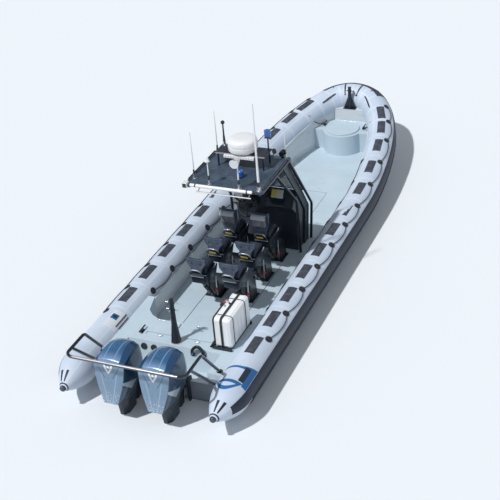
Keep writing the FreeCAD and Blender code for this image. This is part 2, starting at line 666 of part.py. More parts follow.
# Antennas and poles: x, y, base height, top height, base radius, tip radius
roof_top = ROOF_Z - 6 + ROOF_T
ANTENNAS = [
    (-1500.0, 600.0, roof_top, 2930.0, 14.0, 5.0),
    (-560.0, 600.0, roof_top, 2890.0, 14.0, 5.0),
    (-1655.0, -600.0, roof_top, 3600.0, 22.0, 10.0),
    (-450.0, -590.0, roof_top, 2760.0, 9.0, 5.0),
    (-1640.0, 270.0, roof_top, 2520.0, 12.0, 10.0),
    (-1660.0, -260.0, roof_top, 2560.0, 14.0, 12.0),
    (-700.0, 390.0, SHELF[3], 2740.0, 18.0, 12.0),
]
whips = [taper((x, y, z0), (x, y, z1), r0, r1) for x, y, z0, z1, r0, r1 in ANTENNAS]
node("antennas", *whips)

# What the poles carry: satellite receiver, mushroom and loudhailer horn
receiver = Part.makeSphere(34.0, V(ANTENNAS[6][0], ANTENNAS[6][1], ANTENNAS[6][3] + 28)).cut(whips[6])
mushroom = Part.makeCone(46.0, 24.0, 46.0, V(ANTENNAS[4][0], ANTENNAS[4][1], ANTENNAS[4][3] + GAP))
horn_x, horn_y, horn_z = ANTENNAS[5][0], ANTENNAS[5][1], ANTENNAS[5][3] + 40.0
horn = taper((horn_x - 120, horn_y, horn_z), (horn_x + 60, horn_y, horn_z), 78.0, 34.0).cut(whips[5])
camera_box = soft_box(ROOF_X0 - 130, ROOF_X0 - 20, 575.0, 665.0, ROOF_Z + 20, ROOF_Z + 110, 14.0)
camera_arm = rod((ROOF_X0 - 40, 620.0, ROOF_Z + 50), (ROOF_X0 + 40, 620.0, ROOF_Z + 14), 12.0)
spot_lamp = taper((ROOF_X1 - 90, -530, roof_top + 78), (ROOF_X1 + 26, -530, roof_top + 78), 46.0, 58.0)
spot_foot = rod((ROOF_X1 - 40, -530, roof_top), (ROOF_X1 - 40, -530, roof_top + 50), 24.0)
node("roof_sensors", receiver, mushroom, horn, fused([camera_box, camera_arm]).cut(roof), fused([spot_lamp, spot_foot]))

# Blue beacons, one on the roof and one on a short pole at the shelf's starboard end
BEACON_R = 56.0
BEACON_H = 118.0
beacon_low = Part.makeCylinder(BEACON_R, BEACON_H, V(-1280.0, -125.0, roof_top))
pole_top = SHELF[3] + 230.0
beacon_pole = rod((-700.0, -400.0, SHELF[3]), (-700.0, -400.0, pole_top), 13.0)
beacon_high = Part.makeCylinder(BEACON_R, BEACON_H, V(-700.0, -400.0, pole_top))
node("beacons", beacon_low.makeFillet(14.0, [beacon_low.Edges[0]]), beacon_pole.fuse(beacon_high))

# Jockey seats in three rows of two: x of the back's front face, top of the back
SEAT_Y = 285.0
SEAT_ROWS = [(-940.0, 1330.0), (-1610.0, 1130.0), (-2300.0, 1130.0)]
SEAT_TOP_Z = 900.0
SEAT_UNDER_Z = 620.0
SEAT_L = 440.0
SEAT_HALF_W = 160.0
BACK_T = 92.0
BACK_OVERHANG = 48.0       # how far the back stands out behind the pod
BACK_TOP_W = 165.0         # half widths at the wings and at the neck
BACK_NECK_W = 88.0
BACK_HORN = 16.0           # rise of the wings over the middle
HOOP_R = 12.0
HOOP_HALF_W = 90.0
HOOP_Z0 = 780.0
HOOP_Z1 = 965.0
HOOP_LEAN = 112.0
PED_HALF_W = 112.0
PED_FOOT_T = 20.0
# Pedestal's outline: distance ahead of the pod's rear face, height. An upright column, raked aft at its head
PEDESTAL = [
    (495.0, SOLE_Z + PED_FOOT_T),
    (745.0, SOLE_Z + PED_FOOT_T),
    (715.0, 430.0),
    (425.0, SEAT_UNDER_Z),
    (150.0, SEAT_UNDER_Z),
    (480.0, 430.0),
]
pedestals, pods, backs, hoops = [], [], [], []
for front, back_z in SEAT_ROWS:
    rear = front - BACK_T + BACK_OVERHANG
    neck_z = SEAT_TOP_Z + GAP
    shoulder_z = back_z - 0.42 * (back_z - SEAT_TOP_Z)
    for y in (-SEAT_Y, SEAT_Y):
        foot = box(rear + PEDESTAL[0][0] - 30, rear + PEDESTAL[1][0] + 20, y - PED_HALF_W - 35, y + PED_HALF_W + 35,
                   SOLE_Z, SOLE_Z + PED_FOOT_T)
        stand = prism_xz([(rear + ahead, z) for ahead, z in PEDESTAL], y - PED_HALF_W, y + PED_HALF_W)
        pedestals.append(foot.fuse(stand))
        pods.append(soft_box(rear, rear + SEAT_L, y - SEAT_HALF_W, y + SEAT_HALF_W, SEAT_UNDER_Z + GAP,
                             SEAT_TOP_Z, 34.0))
        half = [(BACK_NECK_W, neck_z), (BACK_NECK_W + 12, neck_z + 60), (BACK_TOP_W - 8, shoulder_z),
                (BACK_TOP_W, back_z), (BACK_TOP_W - 46, back_z - BACK_HORN)]
        ring = [(y + w, z) for w, z in half] + [(y - w, z) for w, z in reversed(half)]
        panel = prism_yz(ring, front - BACK_T, front)
        upright = [e for e in panel.Edges if abs(e.tangentAt(e.FirstParameter).x) < 0.5]
        backs.append(panel.makeFillet(12.0, upright))
        bar = rear - GAP
        hoops.append(bent_rod([(bar, y - HOOP_HALF_W, HOOP_Z0), (bar - HOOP_LEAN, y - HOOP_HALF_W, HOOP_Z1),
                               (bar - HOOP_LEAN, y + HOOP_HALF_W, HOOP_Z1), (bar, y + HOOP_HALF_W, HOOP_Z0)],
                              HOOP_R, 60.0))
node("seat_pedestals", *pedestals)
node("seat_cushions", *pods)
node("seat_backrests", *backs)
node("seat_grab_rails", *[hoop.cut(pods[i]) for i, hoop in enumerate(hoops)])

# Soft bags hung on the backs of the two helm seats
BAG_T = 74.0
helm_back = SEAT_ROWS[0][0] - BACK_T - GAP
bags = [soft_box(helm_back - BAG_T, helm_back, y - 138, y + 138, SEAT_ROWS[0][1] - 250, SEAT_ROWS[0][1] - 24, 26.0)
        for y in (-SEAT_Y, SEAT_Y)]
node("seat_bags", *bags)

# Life raft canister standing on edge in its cradle on the aft deck, starboard: two moulded shells that meet at an
# upright flange, with a raised band round each
RAFT_X0 = AFT_DECK_REAR_X + 105.0
RAFT_L = 750.0
RAFT_T = 300.0
RAFT_H = 520.0
RAFT_Y = -775.0            # plane of the flange
RAFT_R = 55.0
BAND_RISE = 7.0
BANDS = [(-98.0, 28.0), (0.0, 18.0), (98.0, 28.0)]   # middle from the flange's plane, width
CRADLE_T = 32.0
raft_z0 = DECK_Z + CRADLE_T
RAFT = (RAFT_X0, RAFT_X0 + RAFT_L, RAFT_Y - RAFT_T / 2, RAFT_Y + RAFT_T / 2, raft_z0, raft_z0 + RAFT_H)
whole = soft_box(*RAFT, RAFT_R)
raft = soft_box(RAFT[0] + BAND_RISE, RAFT[1] - BAND_RISE, RAFT[2], RAFT[3], RAFT[4] + BAND_RISE, RAFT[5] - BAND_RISE,
                RAFT_R - BAND_RISE)
for offset, width in BANDS:
    middle = RAFT_Y + offset
    raft = raft.fuse(whole.common(box(RAFT[0], RAFT[1], middle - width / 2, middle + width / 2, RAFT[4], RAFT[5])))
node("raft_canister", raft.removeSplitter())
cradle_rails = [box(RAFT[0] - 20, RAFT[1] + 20, y - 20, y + 20, DECK_Z, RAFT[4] - GAP)
                for y in (RAFT[2] + 50, RAFT[3] - 50)]
cradle_ends = [box(x, x + 20, RAFT[2], RAFT[3], DECK_Z, RAFT[4] + 22) for x in (RAFT[0] - 20 - GAP, RAFT[1] + GAP)]
node("raft_cradle", fused(cradle_rails + cradle_ends))

# Guard rail round the engines: one hoop with a second leg each side
RAIL_R = 24.0
RAIL_Y = 940.0
RAIL_Z = 1180.0
RAIL_AFT_X = TRANSOM_X - 980.0
RAIL_FRONT_X = TRANSOM_X - 420.0
front_foot = (TRANSOM_X + 90.0, DECK_Z)
rear_foot = (TRANSOM_X, 340.0)
hoop_points = []
for side in (1, -1):
    run = [(front_foot[0], side * RAIL_Y, front_foot[1]), (RAIL_FRONT_X, side * RAIL_Y, RAIL_Z),
           (RAIL_AFT_X, side * RAIL_Y, RAIL_Z)]
    hoop_points += run if side == 1 else run[::-1]
hoop = bent_rod(hoop_points, RAIL_R, 120.0)
leg_top = (RAIL_AFT_X + 195.0, RAIL_Z)
legs = [rod((leg_top[0], y, leg_top[1]), (rear_foot[0], y, rear_foot[1]), RAIL_R) for y in (-RAIL_Y, RAIL_Y)]
rail_feet = [rod((front_foot[0], y, DECK_Z), (front_foot[0], y, DECK_Z + 10), 2 * RAIL_R) for y in (-RAIL_Y, RAIL_Y)]
guard = fused([hoop] + legs + rail_feet)
guard = guard.cut(box(TRANSOM_X, TRANSOM_X + 200, -RAIL_Y - 60, RAIL_Y + 60, 0, DECK_Z))
node("engine_guard_rail", guard)

# Outboard motors. Places in the motor's own plane: x along the boat, z up; y is added for each side
ENGINE_Y = 357.0
TILT_X = TRANSOM_X - 45.0
TILT_Z = 400.0
TILT_PIN_R = 16.0
STEER_X = TILT_X - 155.0
COLUMN_R = 52.0
COLUMN_BORE_R = 30.0
COLUMN_Z0 = -60.0
COLUMN_Z1 = 430.0
SHAFT_Z = -640.0
PROP_R = 190.0
PROP_HUB_R = 58.0
PROP_HUB_L = 130.0
PROP_X0 = STEER_X - 410.0
PROP_X1 = PROP_X0 - PROP_HUB_L
PLATE_Z = -432.0
SKEG_Z = -860.0
CLAMP_Y0 = 100.0
CLAMP_T = 24.0

# Cowl stations: x_top and x_bottom from the steering column, z_bottom, z_shoulder, z_top, and the half widths
# at the bottom, waist, shoulder and top
COWL = [
    (70.0, 55.0, 500.0, 880.0, 950.0, 120.0, 170.0, 140.0, 70.0),
    (-20.0, -20.0, 470.0, 1010.0, 1090.0, 185.0, 240.0, 200.0, 110.0),
    (-260.0, -260.0, 440.0, 1075.0, 1180.0, 210.0, 268.0, 240.0, 130.0),
    (-480.0, -530.0, 400.0, 1055.0, 1140.0, 180.0, 262.0, 255.0, 150.0),
    (-600.0, -700.0, 372.0, 1000.0, 1082.0, 105.0, 190.0, 252.0, 190.0),
]
SEAM = (545.0, 610.0, 7.0, 5.0)       # joint of the cowl's halves: z at the front, z at the rear, width, depth
SHIELD = (22.0, 9.0, 6.0)  # groove round the rear shield: inset, width, depth
# Leg stations: z, x_front and x_rear from the steering column, half width
LEG = [
    (438.0, -65.0, -520.0, 170.0),
    (250.0, -70.0, -480.0, 110.0),
    (-100.0, -80.0, -440.0, 78.0),
    (PLATE_Z, -100.0, -440.0, 60.0),
]


def cowl_section(x_top, x_bot, zb, zs, zt, wb, ww, ws, wt, inset=0.0, shift=0.0):
    def at(y, z):
        share = (z - zb) / (zt - zb)
        return (STEER_X + x_bot + share * (x_top - x_bot) + shift, y, z)
    waist = zb + 0.45 * (zs - zb)
    right = [(wb - inset, zb + inset), (ww - inset, waist), (ws - inset, zs), (wt - inset, zt - inset)]
    ring = right + [(-y, z) for y, z in reversed(right)]
    return rounded_wire([at(y, z) for y, z in ring], 34.0)


def cowl_shell():
    """Lofted cowl with the joint of its halves and the panel line round its rear shield."""
    solid = loft([cowl_section(*row) for row in COWL])
    z_front, z_rear, width, depth = SEAM
    core_rows = [cowl_section(*row, inset=depth, shift=depth * move) for row, move in zip(COWL, (-1, 0, 0, 0, 1))]
    x0, x1 = STEER_X + 100, STEER_X - 740
    slab = prism_xz([(x0, z_front), (x1, z_rear), (x1, z_rear + width), (x0, z_front + width)], -400, 400)
    inset, wide, deep = SHIELD
    outer, inner = [Part.Face(cowl_section(*COWL[-1], inset=edge, shift=-deep)).extrude(V(2 * deep, 0, 0))
                    for edge in (inset, inset + wide)]
    return solid.cut([slab.cut(loft(core_rows)), outer.cut(inner)])


def leg_section(z, x_front, x_rear, w):
    nose = 0.22 * (x_front - x_rear)
    right = [(x_front, 0.35 * w), (x_front - nose, w), (x_rear + nose, w), (x_rear, 0.3 * w)]
    ring = right + [(x, -y) for x, y in reversed(right)]
    return rounded_wire([(STEER_X + x, y, z) for x, y in ring], 26.0)


def propeller():
    """Three twisted blades on a hub, trimmed to a round outline."""
    hub = Part.makeCylinder(PROP_HUB_R, PROP_HUB_L, V(PROP_X1, 0, SHAFT_Z), V(1, 0, 0))
    middle = (PROP_X0 + PROP_X1) / 2
    # Blade stations: radius, chord, pitch angle, thickness, rake
    stations = [(48.0, 120.0, 58.0, 14.0, 0.0), (110.0, 175.0, 42.0, 9.0, -10.0), (196.0, 150.0, 30.0, 4.0, -26.0)]
    blades = []
    for k in range(3):
        wires = []
        for radius, chord, pitch, thick, rake in stations:
            t = math.radians(pitch)
            corners = []
            for u, v in ((-chord / 2, -thick / 2), (chord / 2, -thick / 2), (chord / 2, thick / 2),
                         (-chord / 2, thick / 2)):
                ax = u * math.sin(t) * 0.62 + v * math.cos(t)
                lat = u * math.cos(t) - v * math.sin(t)
                corners.append(V(middle + rake + ax, lat, radius))
            wires.append(Part.makePolygon(corners + corners[:1]))
        blade = loft(wires)
        blade = blade.common(Part.makeCylinder(PROP_R, 400.0, V(middle - 200, 0, 0), V(1, 0, 0)))
        blade.rotate(V(0, 0, 0), V(1, 0, 0), 120.0 * k)
        blade.translate(V(0, 0, SHAFT_Z))
        blades.append(blade)
    return fused([hub] + blades)


def clamp_bracket():
    """Two cheeks hooked over the transom and bolted to its aft face, with the tilt tube between them."""
    profile = [(TRANSOM_X + TRANSOM_T - 5, TRANSOM_TOP_Z), (TRANSOM_X + TRANSOM_T - 5, TRANSOM_TOP_Z + 60),
               (TILT_X + 20, TILT_Z + 42), (TILT_X - 30, TILT_Z + 34), (TILT_X - 45, TILT_Z - 20),
               (TRANSOM_X - 60, -40.0), (TRANSOM_X, -60.0), (TRANSOM_X, TRANSOM_TOP_Z)]
    cheeks = [prism_xz(profile, y, y + CLAMP_T) for y in (CLAMP_Y0, -CLAMP_Y0 - CLAMP_T)]
    pin = rod((TILT_X, -CLAMP_Y0 - CLAMP_T - 12, TILT_Z), (TILT_X, CLAMP_Y0 + CLAMP_T + 12, TILT_Z), TILT_PIN_R)
    return fused(cheeks + [pin])


def swivel_bracket():
    """Knuckle on the tilt tube that carries the upright steering column."""
    inner = CLAMP_Y0 - 3.0
    knuckle = rod((TILT_X, -inner, TILT_Z), (TILT_X, inner, TILT_Z), 38.0)
    web = prism_xz([(TILT_X + 10, TILT_Z - 30), (TILT_X - 10, TILT_Z + 34), (STEER_X, TILT_Z + 20),
                    (STEER_X, COLUMN_Z0 + 40), (TILT_X - 60, COLUMN_Z0 + 60)], -44, 44)
    column = Part.makeCylinder(COLUMN_R, COLUMN_Z1 - COLUMN_Z0, V(STEER_X, 0, COLUMN_Z0))
    ram = rod((STEER_X + 90, -inner, TILT_Z - 92), (STEER_X + 90, inner, TILT_Z - 92), 26.0)
    body = fused([knuckle, web, column, ram])
    bore = Part.makeCylinder(COLUMN_BORE_R, 2000.0, V(STEER_X, 0, -1000.0))
    pin_bore = rod((TILT_X, -300, TILT_Z), (TILT_X, 300, TILT_Z), TILT_PIN_R + GAP)
    return body.cut([bore, pin_bore])


def midsection():
    """Leg with the steering shaft and its two arms in front."""
    leg = loft([leg_section(*row) for row in LEG])
    shaft = Part.makeCylinder(COLUMN_BORE_R - GAP, COLUMN_Z1 - COLUMN_Z0 + 60, V(STEER_X, 0, COLUMN_Z0 - 30))
    upper = box(STEER_X - 110, STEER_X + 45, -50, 50, COLUMN_Z1 + 3, COLUMN_Z1 + 30)
    lower = box(STEER_X - 110, STEER_X + 45, -42, 42, COLUMN_Z0 - 40, COLUMN_Z0 - 3)
    return fused([leg, shaft, upper, lower])


def gearcase():
    """Lower unit: strut, anti-ventilation plate, bullet and skeg."""
    strut_rows = [LEG[-1], (SHAFT_Z + 30, -140.0, -400.0, 40.0)]
    strut = loft([leg_section(*row) for row in strut_rows])
    plate_half = [(STEER_X - x, y) for x, y in ((100.0, 40.0), (200.0, 100.0), (520.0, 125.0), (590.0, 80.0))]
    plate = prism_xy(plate_half + [(x, -y) for x, y in reversed(plate_half)], PLATE_Z - 12, PLATE_Z)
    bullet = Part.makeCylinder(62.0, 200.0, V(PROP_X0 + GAP, 0, SHAFT_Z), V(1, 0, 0))
    nose = Part.makeCone(62.0, 16.0, 110.0, V(PROP_X0 + GAP + 200, 0, SHAFT_Z), V(1, 0, 0))
    skeg_edge = [(190.0, SHAFT_Z - 40), (380.0, SHAFT_Z - 40), (410.0, SKEG_Z), (300.0, SKEG_Z)]
    skeg = prism_xz([(STEER_X - x, z) for x, z in skeg_edge], -7, 7)
    return fused([strut, plate, bullet, nose, skeg])


cowl = cowl_shell()
leg_body = midsection().cut(cowl)
case_body = gearcase()
prop_body = propeller()
SIDES = [("port", ENGINE_Y), ("starboard", -ENGINE_Y)]
for side, y in SIDES:
    node("clamp_bracket_" + side, moved(clamp_bracket(), y=y))
    node("swivel_bracket_" + side, moved(swivel_bracket(), y=y))
    node("cowl_" + side, moved(cowl, y=y))
    node("midsection_" + side, moved(leg_body, y=y))
    node("gearcase_" + side, moved(case_body, y=y))
    node("propeller_" + side, moved(prop_body, y=y))

# Write one file per piece
for name, solids in NODES.items():
    shape = solids[0] if len(solids) == 1 else Part.makeCompound(solids)
    shape.exportStep("parts/" + name + ".step")
    print(name, len(solids), round(sum(s.Volume for s in solids) / 1e9, 4), all(s.isValid() for s in solids))
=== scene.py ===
import math

import bmesh
import bpy
from mathutils import Matrix, Vector


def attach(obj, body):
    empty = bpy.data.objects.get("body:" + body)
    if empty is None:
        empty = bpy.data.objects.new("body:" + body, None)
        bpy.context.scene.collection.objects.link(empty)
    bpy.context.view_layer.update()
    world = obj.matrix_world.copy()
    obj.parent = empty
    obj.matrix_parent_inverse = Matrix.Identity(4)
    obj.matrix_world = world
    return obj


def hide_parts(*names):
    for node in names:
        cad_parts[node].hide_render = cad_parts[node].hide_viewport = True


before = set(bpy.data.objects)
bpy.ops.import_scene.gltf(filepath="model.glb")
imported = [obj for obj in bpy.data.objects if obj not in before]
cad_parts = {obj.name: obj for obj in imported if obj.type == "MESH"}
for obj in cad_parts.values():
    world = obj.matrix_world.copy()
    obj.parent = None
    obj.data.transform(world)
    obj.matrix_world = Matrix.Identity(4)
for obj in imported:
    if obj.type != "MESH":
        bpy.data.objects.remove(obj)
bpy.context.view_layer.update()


# The boat is seen from above its starboard quarter, with a long lens.
# Yaw is measured from the bow towards port, pitch is downwards, and the horizon leans by the roll.
LENS_PX = 1165.0
PHOTO_PX = 500.0
CAMERA_AT = Vector((-16.56, -7.308, 10.645))
YAW = math.radians(25.008)
PITCH = math.radians(30.423)
ROLL = math.radians(-4.9)


def placed(name, data):
    """A new object in the scene."""
    made = bpy.data.objects.new(name, data)
    bpy.context.scene.collection.objects.link(made)
    return made


def with_axes(x, y, z, at):
    """A place, from its three axes and its origin."""
    return Matrix(list(zip(x, y, z, at)) + [(0, 0, 0, 1)])


look = Vector((math.cos(YAW) * math.cos(PITCH), math.sin(YAW) * math.cos(PITCH), -math.sin(PITCH)))
level_right = look.cross(Vector((0, 0, 1))).normalized()
level_up = level_right.cross(look)
right = level_right * math.cos(ROLL) + level_up * math.sin(ROLL)
camera_up = level_up * math.cos(ROLL) - level_right * math.sin(ROLL)
camera_data = bpy.data.cameras.new("camera")
camera_data.sensor_width = 36.0
camera_data.lens = camera_data.sensor_width * LENS_PX / PHOTO_PX
camera_data.clip_end = 400.0
camera = placed("camera", camera_data)
camera.matrix_world = with_axes(right, camera_up, -look, CAMERA_AT)
bpy.context.scene.camera = camera
bpy.context.scene.view_settings.view_transform = "Standard"


# Floor and light: a plain pale floor at the waterline, and daylight from high behind the boat's port
# quarter. Finishes are built from shader nodes, wrapped so that their maths reads as plain sums.
class Value:
    """One output of a shader node, with the usual arithmetic signs."""

    def __init__(self, finish, socket):
        self.finish = finish
        self.socket = socket

    def maths(self, operation, *others):
        return self.finish.node("ShaderNodeMath", {"operation": operation}, dict(enumerate((self,) + others)))

    def __add__(self, other):
        return self.maths("ADD", other)

    def __sub__(self, other):
        return self.maths("SUBTRACT", other)

    def __rsub__(self, other):
        return self.finish.node("ShaderNodeMath", {"operation": "SUBTRACT"}, {0: other, 1: self})

    def __mul__(self, other):
        return self.maths("MULTIPLY", other)

    def __abs__(self):
        return self.maths("ABSOLUTE")

    __radd__ = __add__
    __rmul__ = __mul__

    def either(self, other):
        """The larger of two values."""
        return self.maths("MAXIMUM", other)

    def waves(self, per_metre):
        return (self * per_metre).maths("SINE")

    def over(self, low, high):
        """0 below low, 1 above high, and a smooth step between."""
        return self.finish.node("ShaderNodeMapRange", {"interpolation_type": "SMOOTHSTEP"},
                                {"Value": self, "From Min": low, "From Max": high})

    def under(self, low, high):
        """1 below low, 0 above high, and a smooth step between."""
        return 1 - self.over(low, high)

    def band(self, middle, width, soft):
        """1 within width of the middle and 0 outside, with soft edges."""
        return abs(self - middle).under(width / 2, width / 2 + soft)


class Finish:
    """A surface finish on one material."""

    def __init__(self, name):
        self.material = bpy.data.materials.new(name)
        self.material.use_nodes = True
        self.tree = self.material.node_tree
        self.tree.nodes.clear()
        self.shader = self.tree.nodes.new("ShaderNodeBsdfPrincipled")
        output = self.tree.nodes.new("ShaderNodeOutputMaterial")
        self.tree.links.new(self.shader.outputs[0], output.inputs["Surface"])
        self.place = self.node("ShaderNodeTexCoord", {}, {}, "Object")

    def node(self, kind, settings, inputs, output=0):
        made = self.tree.nodes.new(kind)
        for key, value in settings.items():
            setattr(made, key, value)
        for key, value in inputs.items():
            self.put(made.inputs[key], value)
        return Value(self, made.outputs[output])

    def put(self, socket, value):
        if isinstance(value, Value):
            self.tree.links.new(value.socket, socket)
        elif isinstance(value, tuple) and socket.type == "RGBA":
            socket.default_value = (*value, 1.0)
        else:
            socket.default_value = value

    def coat(self, **inputs):
        """Sets the shader's sockets: base_color sets Base Color, and so on."""
        for key, value in inputs.items():
            name = "Specular IOR Level" if key == "specular" else key.replace("_", " ").title()
            self.put(self.shader.inputs[name], value)
        return self.material

    def noise(self, scale, detail=4.0, rough=0.55, place=None):
        return self.node("ShaderNodeTexNoise", {}, {
            "Vector": place or self.place, "Scale": scale, "Detail": detail, "Roughness": rough})

    def cells(self, scale):
        """Distance from the middle of a pebbled cell."""
        inputs = {"Vector": self.place, "Scale": scale}
        return self.node("ShaderNodeTexVoronoi", {"feature": "F1"}, inputs, "Distance")

    def mix(self, share, first, second):
        return self.node("ShaderNodeMix", {"data_type": "RGBA"}, {0: share, 6: first, 7: second}, 2)

    def bump(self, height, depth):
        return self.node("ShaderNodeBump", {}, {"Height": height, "Distance": depth, "Strength": 1.0})

    def axes(self, place=None):
        parts = self.tree.nodes.new("ShaderNodeSeparateXYZ")
        self.tree.links.new((place or self.place).socket, parts.inputs[0])
        return [Value(self, out) for out in parts.outputs]


def as_mesh(name, bm):
    """Turns a finished shape into a mesh."""
    mesh = bpy.data.meshes.new(name)
    bm.to_mesh(mesh)
    bm.free()
    return mesh


bm = bmesh.new()
bmesh.ops.create_grid(bm, x_segments=1, y_segments=1, size=150.0)
floor = placed("floor", as_mesh("floor", bm))
paper = Finish("floor_paper").coat(base_color=(0.78, 0.81, 0.84), roughness=0.9, specular=0.1)
floor.data.materials.append(paper)

world = bpy.data.worlds.new("studio")
world.use_nodes = True
world.node_tree.nodes["Background"].inputs["Color"].default_value = (0.85, 0.91, 1.0, 1.0)
world.node_tree.nodes["Background"].inputs["Strength"].default_value = 0.34
bpy.context.scene.world = world
LIGHTS = [  # name, strength, softness in degrees, direction the light travels
    ("key", 2.95, 2.0, (0.47, -0.277, -0.78)),
    ("fill", 0.25, 60.0, (0.6, 0.7, -0.8)),
]
for name, strength, softness, travel in LIGHTS:
    lamp = bpy.data.lights.new(name, "SUN")
    lamp.energy = strength
    lamp.angle = math.radians(softness)
    placed(name, lamp).rotation_euler = Vector(travel).to_track_quat("-Z", "Y").to_euler()


# Lifelines: black 14 mm rope laced through the pads on both tubes, slack between them, on the outboard
# shoulder and low on the inboard side. Each one is a single rope tied off at its end pads.
SIDES = (("port", 1), ("starboard", -1))
TUBE_R = 0.278
TUBE_START_X = -4.6
ROUTE = [(TUBE_START_X, 1.25, 0.4), (1.0, 1.25, 0.4), (1.8, 1.228, 0.43), (2.64, 1.15, 0.492),
         (3.38, 1.035, 0.566), (3.96, 0.885, 0.645), (4.4, 0.705, 0.725), (4.71, 0.51, 0.8),
         (4.88, 0.29, 0.865), (4.935, 0.0, 0.9)]
whole_route = ROUTE + [(x, -y, z) for x, y, z in reversed(ROUTE[:-1])]


def nurbs(name, points, steps):
    """The smooth curve that a route's corners give."""
    curve = bpy.data.curves.new(name, "CURVE")
    curve.dimensions = "3D"
    curve.resolution_u = steps
    spline = curve.splines.new("NURBS")
    spline.points.add(len(points) - 1)
    for point, place in zip(spline.points, points):
        point.co = (*place, 1.0)
    spline.order_u = 3
    spline.use_endpoint_u = True
    return curve


def walks_along(line):
    """The distance from a line's start to each of its points."""
    walked = [0.0]
    for a, b in zip(line, line[1:]):
        walked.append(walked[-1] + (b - a).length)
    return walked


def spline_line(points, step=None):
    """Points along the curve that a route gives, evenly spaced when a step is given."""
    curve = nurbs("route", points, 32)
    holder = bpy.data.objects.new("route", curve)
    mesh = bpy.data.meshes.new_from_object(holder)
    line = [v.co.copy() for v in mesh.vertices]
    bpy.data.meshes.remove(mesh)
    bpy.data.objects.remove(holder)
    bpy.data.curves.remove(curve)
    if step is None:
        return line
    walked = walks_along(line)
    count = max(2, round(walked[-1] / step))
    even, k = [], 0
    for i in range(count + 1):
        want = walked[-1] * i / count
        while k < len(line) - 2 and walked[k + 1] < want:
            k += 1
        share = (want - walked[k]) / max(walked[k + 1] - walked[k], 1e-9)
        even.append(line[k].lerp(line[k + 1], min(share, 1.0)))
    return even


def frames_along(line, up=(0, 0, 1)):
    """A frame at each point of a line: outboard to port, up, and forward along it."""
    line = [Vector(point) for point in line]
    frames = []
    for i, point in enumerate(line):
        forward = (line[min(i + 1, len(line) - 1)] - line[max(i - 1, 0)]).normalized()
        outboard = Vector(up).cross(forward).normalized()
        frames.append(with_axes(outboard, forward.cross(outboard), forward, point))
    return frames


def polar(corners):
    """Corners given by their radius and degrees."""
    return [(r * math.cos(math.radians(a)), r * math.sin(math.radians(a))) for r, a in corners]


tube_line = spline_line(whole_route, 0.02)
tube_frames = frames_along(tube_line)
tube_walk = walks_along(tube_line)
half_way = len(tube_line) // 2


def station(walk):
    """The tube frame nearest a distance from the tube's aft end."""
    return min(range(len(tube_walk)), key=lambda i: abs(tube_walk[i] - walk))


def nearest(spot):
    """The tube frame nearest a place."""
    return min(range(len(tube_line)), key=lambda i: (tube_line[i] - Vector(spot)).length)


def on_tube(walk, degrees, reach=0.0):
    """A place over the port tube, by distance from its aft end, angle above level outboard and height."""
    k = station(walk)
    return tube_frames[k] @ Vector((*polar([(TUBE_R + reach, degrees)])[0], walk - tube_walk[k]))


PATCH_PITCH = 0.7165
PATCH_DATUM_X = -3.0
patch_walks = [PATCH_DATUM_X - TUBE_START_X + PATCH_PITCH * i for i in range(-1, 6)]
for a, b in zip(ROUTE[1:6], ROUTE[2:7]):
    patch_walks.append(tube_walk[nearest((Vector(a) + Vector(b)) / 2)])
OUTER_PAD_AHEAD, INNER_PAD_AHEAD = 0.245, 0.405      # of the middle of each tread patch
EYE_H, SLACK_H = 0.018, 0.010                        # of the rope's middle over the fabric
outer_pads = [walk + OUTER_PAD_AHEAD for walk in patch_walks]
inner_pads = [walk + INNER_PAD_AHEAD for walk in patch_walks[1:9]]
CORDS = [  # name, pad places, angle at the pads, angles of the slack between them
    ("lifeline_outer", outer_pads, 60.0, (52.0, 44.0, 47.0)),
    ("lifeline_inner", inner_pads, 150.0, (156.0, 166.0, 161.0)),
]
LIFELINE_R = 0.007
rope = Finish("black_rope")
strand = rope.node("ShaderNodeTexWave", {"bands_direction": "DIAGONAL"},
                   {"Vector": rope.place, "Scale": 60.0})
rope_black = rope.coat(base_color=rope.mix(strand, (0.012, 0.013, 0.016), (0.045, 0.047, 0.055)),
                       roughness=0.75, normal=rope.bump(strand, 0.002))


def rope_piece(name, points, radius):
    """One free rope as a smooth curve; its length is measured."""
    curve = nurbs(name, points, 6)
    curve.bevel_depth = radius
    curve.bevel_resolution = 2
    curve.use_fill_caps = True
    curve.materials.append(rope_black)
    made = placed(name, curve)
    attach(made, "boat")
    length = walks_along(spline_line(points))[-1]


for name, pads_at, rest_angle, slack in CORDS:
    for side, sign in SIDES:
        points = [on_tube(pads_at[0], rest_angle, EYE_H)]
        for here, ahead in zip(pads_at, pads_at[1:]):
            points += [on_tube(here + (ahead - here) * share, degrees, SLACK_H)
                       for share, degrees in zip((0.16, 0.5, 0.84), slack)]
            points.append(on_tube(ahead, rest_angle, EYE_H))
        rope_piece(f"{name}_{side}", [Vector((p.x, sign * p.y, p.z)) for p in points], LIFELINE_R)


# Tubes: coated fabric, pale grey, cut in panels. A tape lies over each joint between panels and along
# the lengthwise seams, and the fabric draws in a little there. Each tube ends aft in a tapering cone.
CONE_L = 0.59
CONE_TIP_R = 0.052
CONE_SET = 0.035           # how far each tip stands inboard of its tube's middle
CONE_STEPS = 14


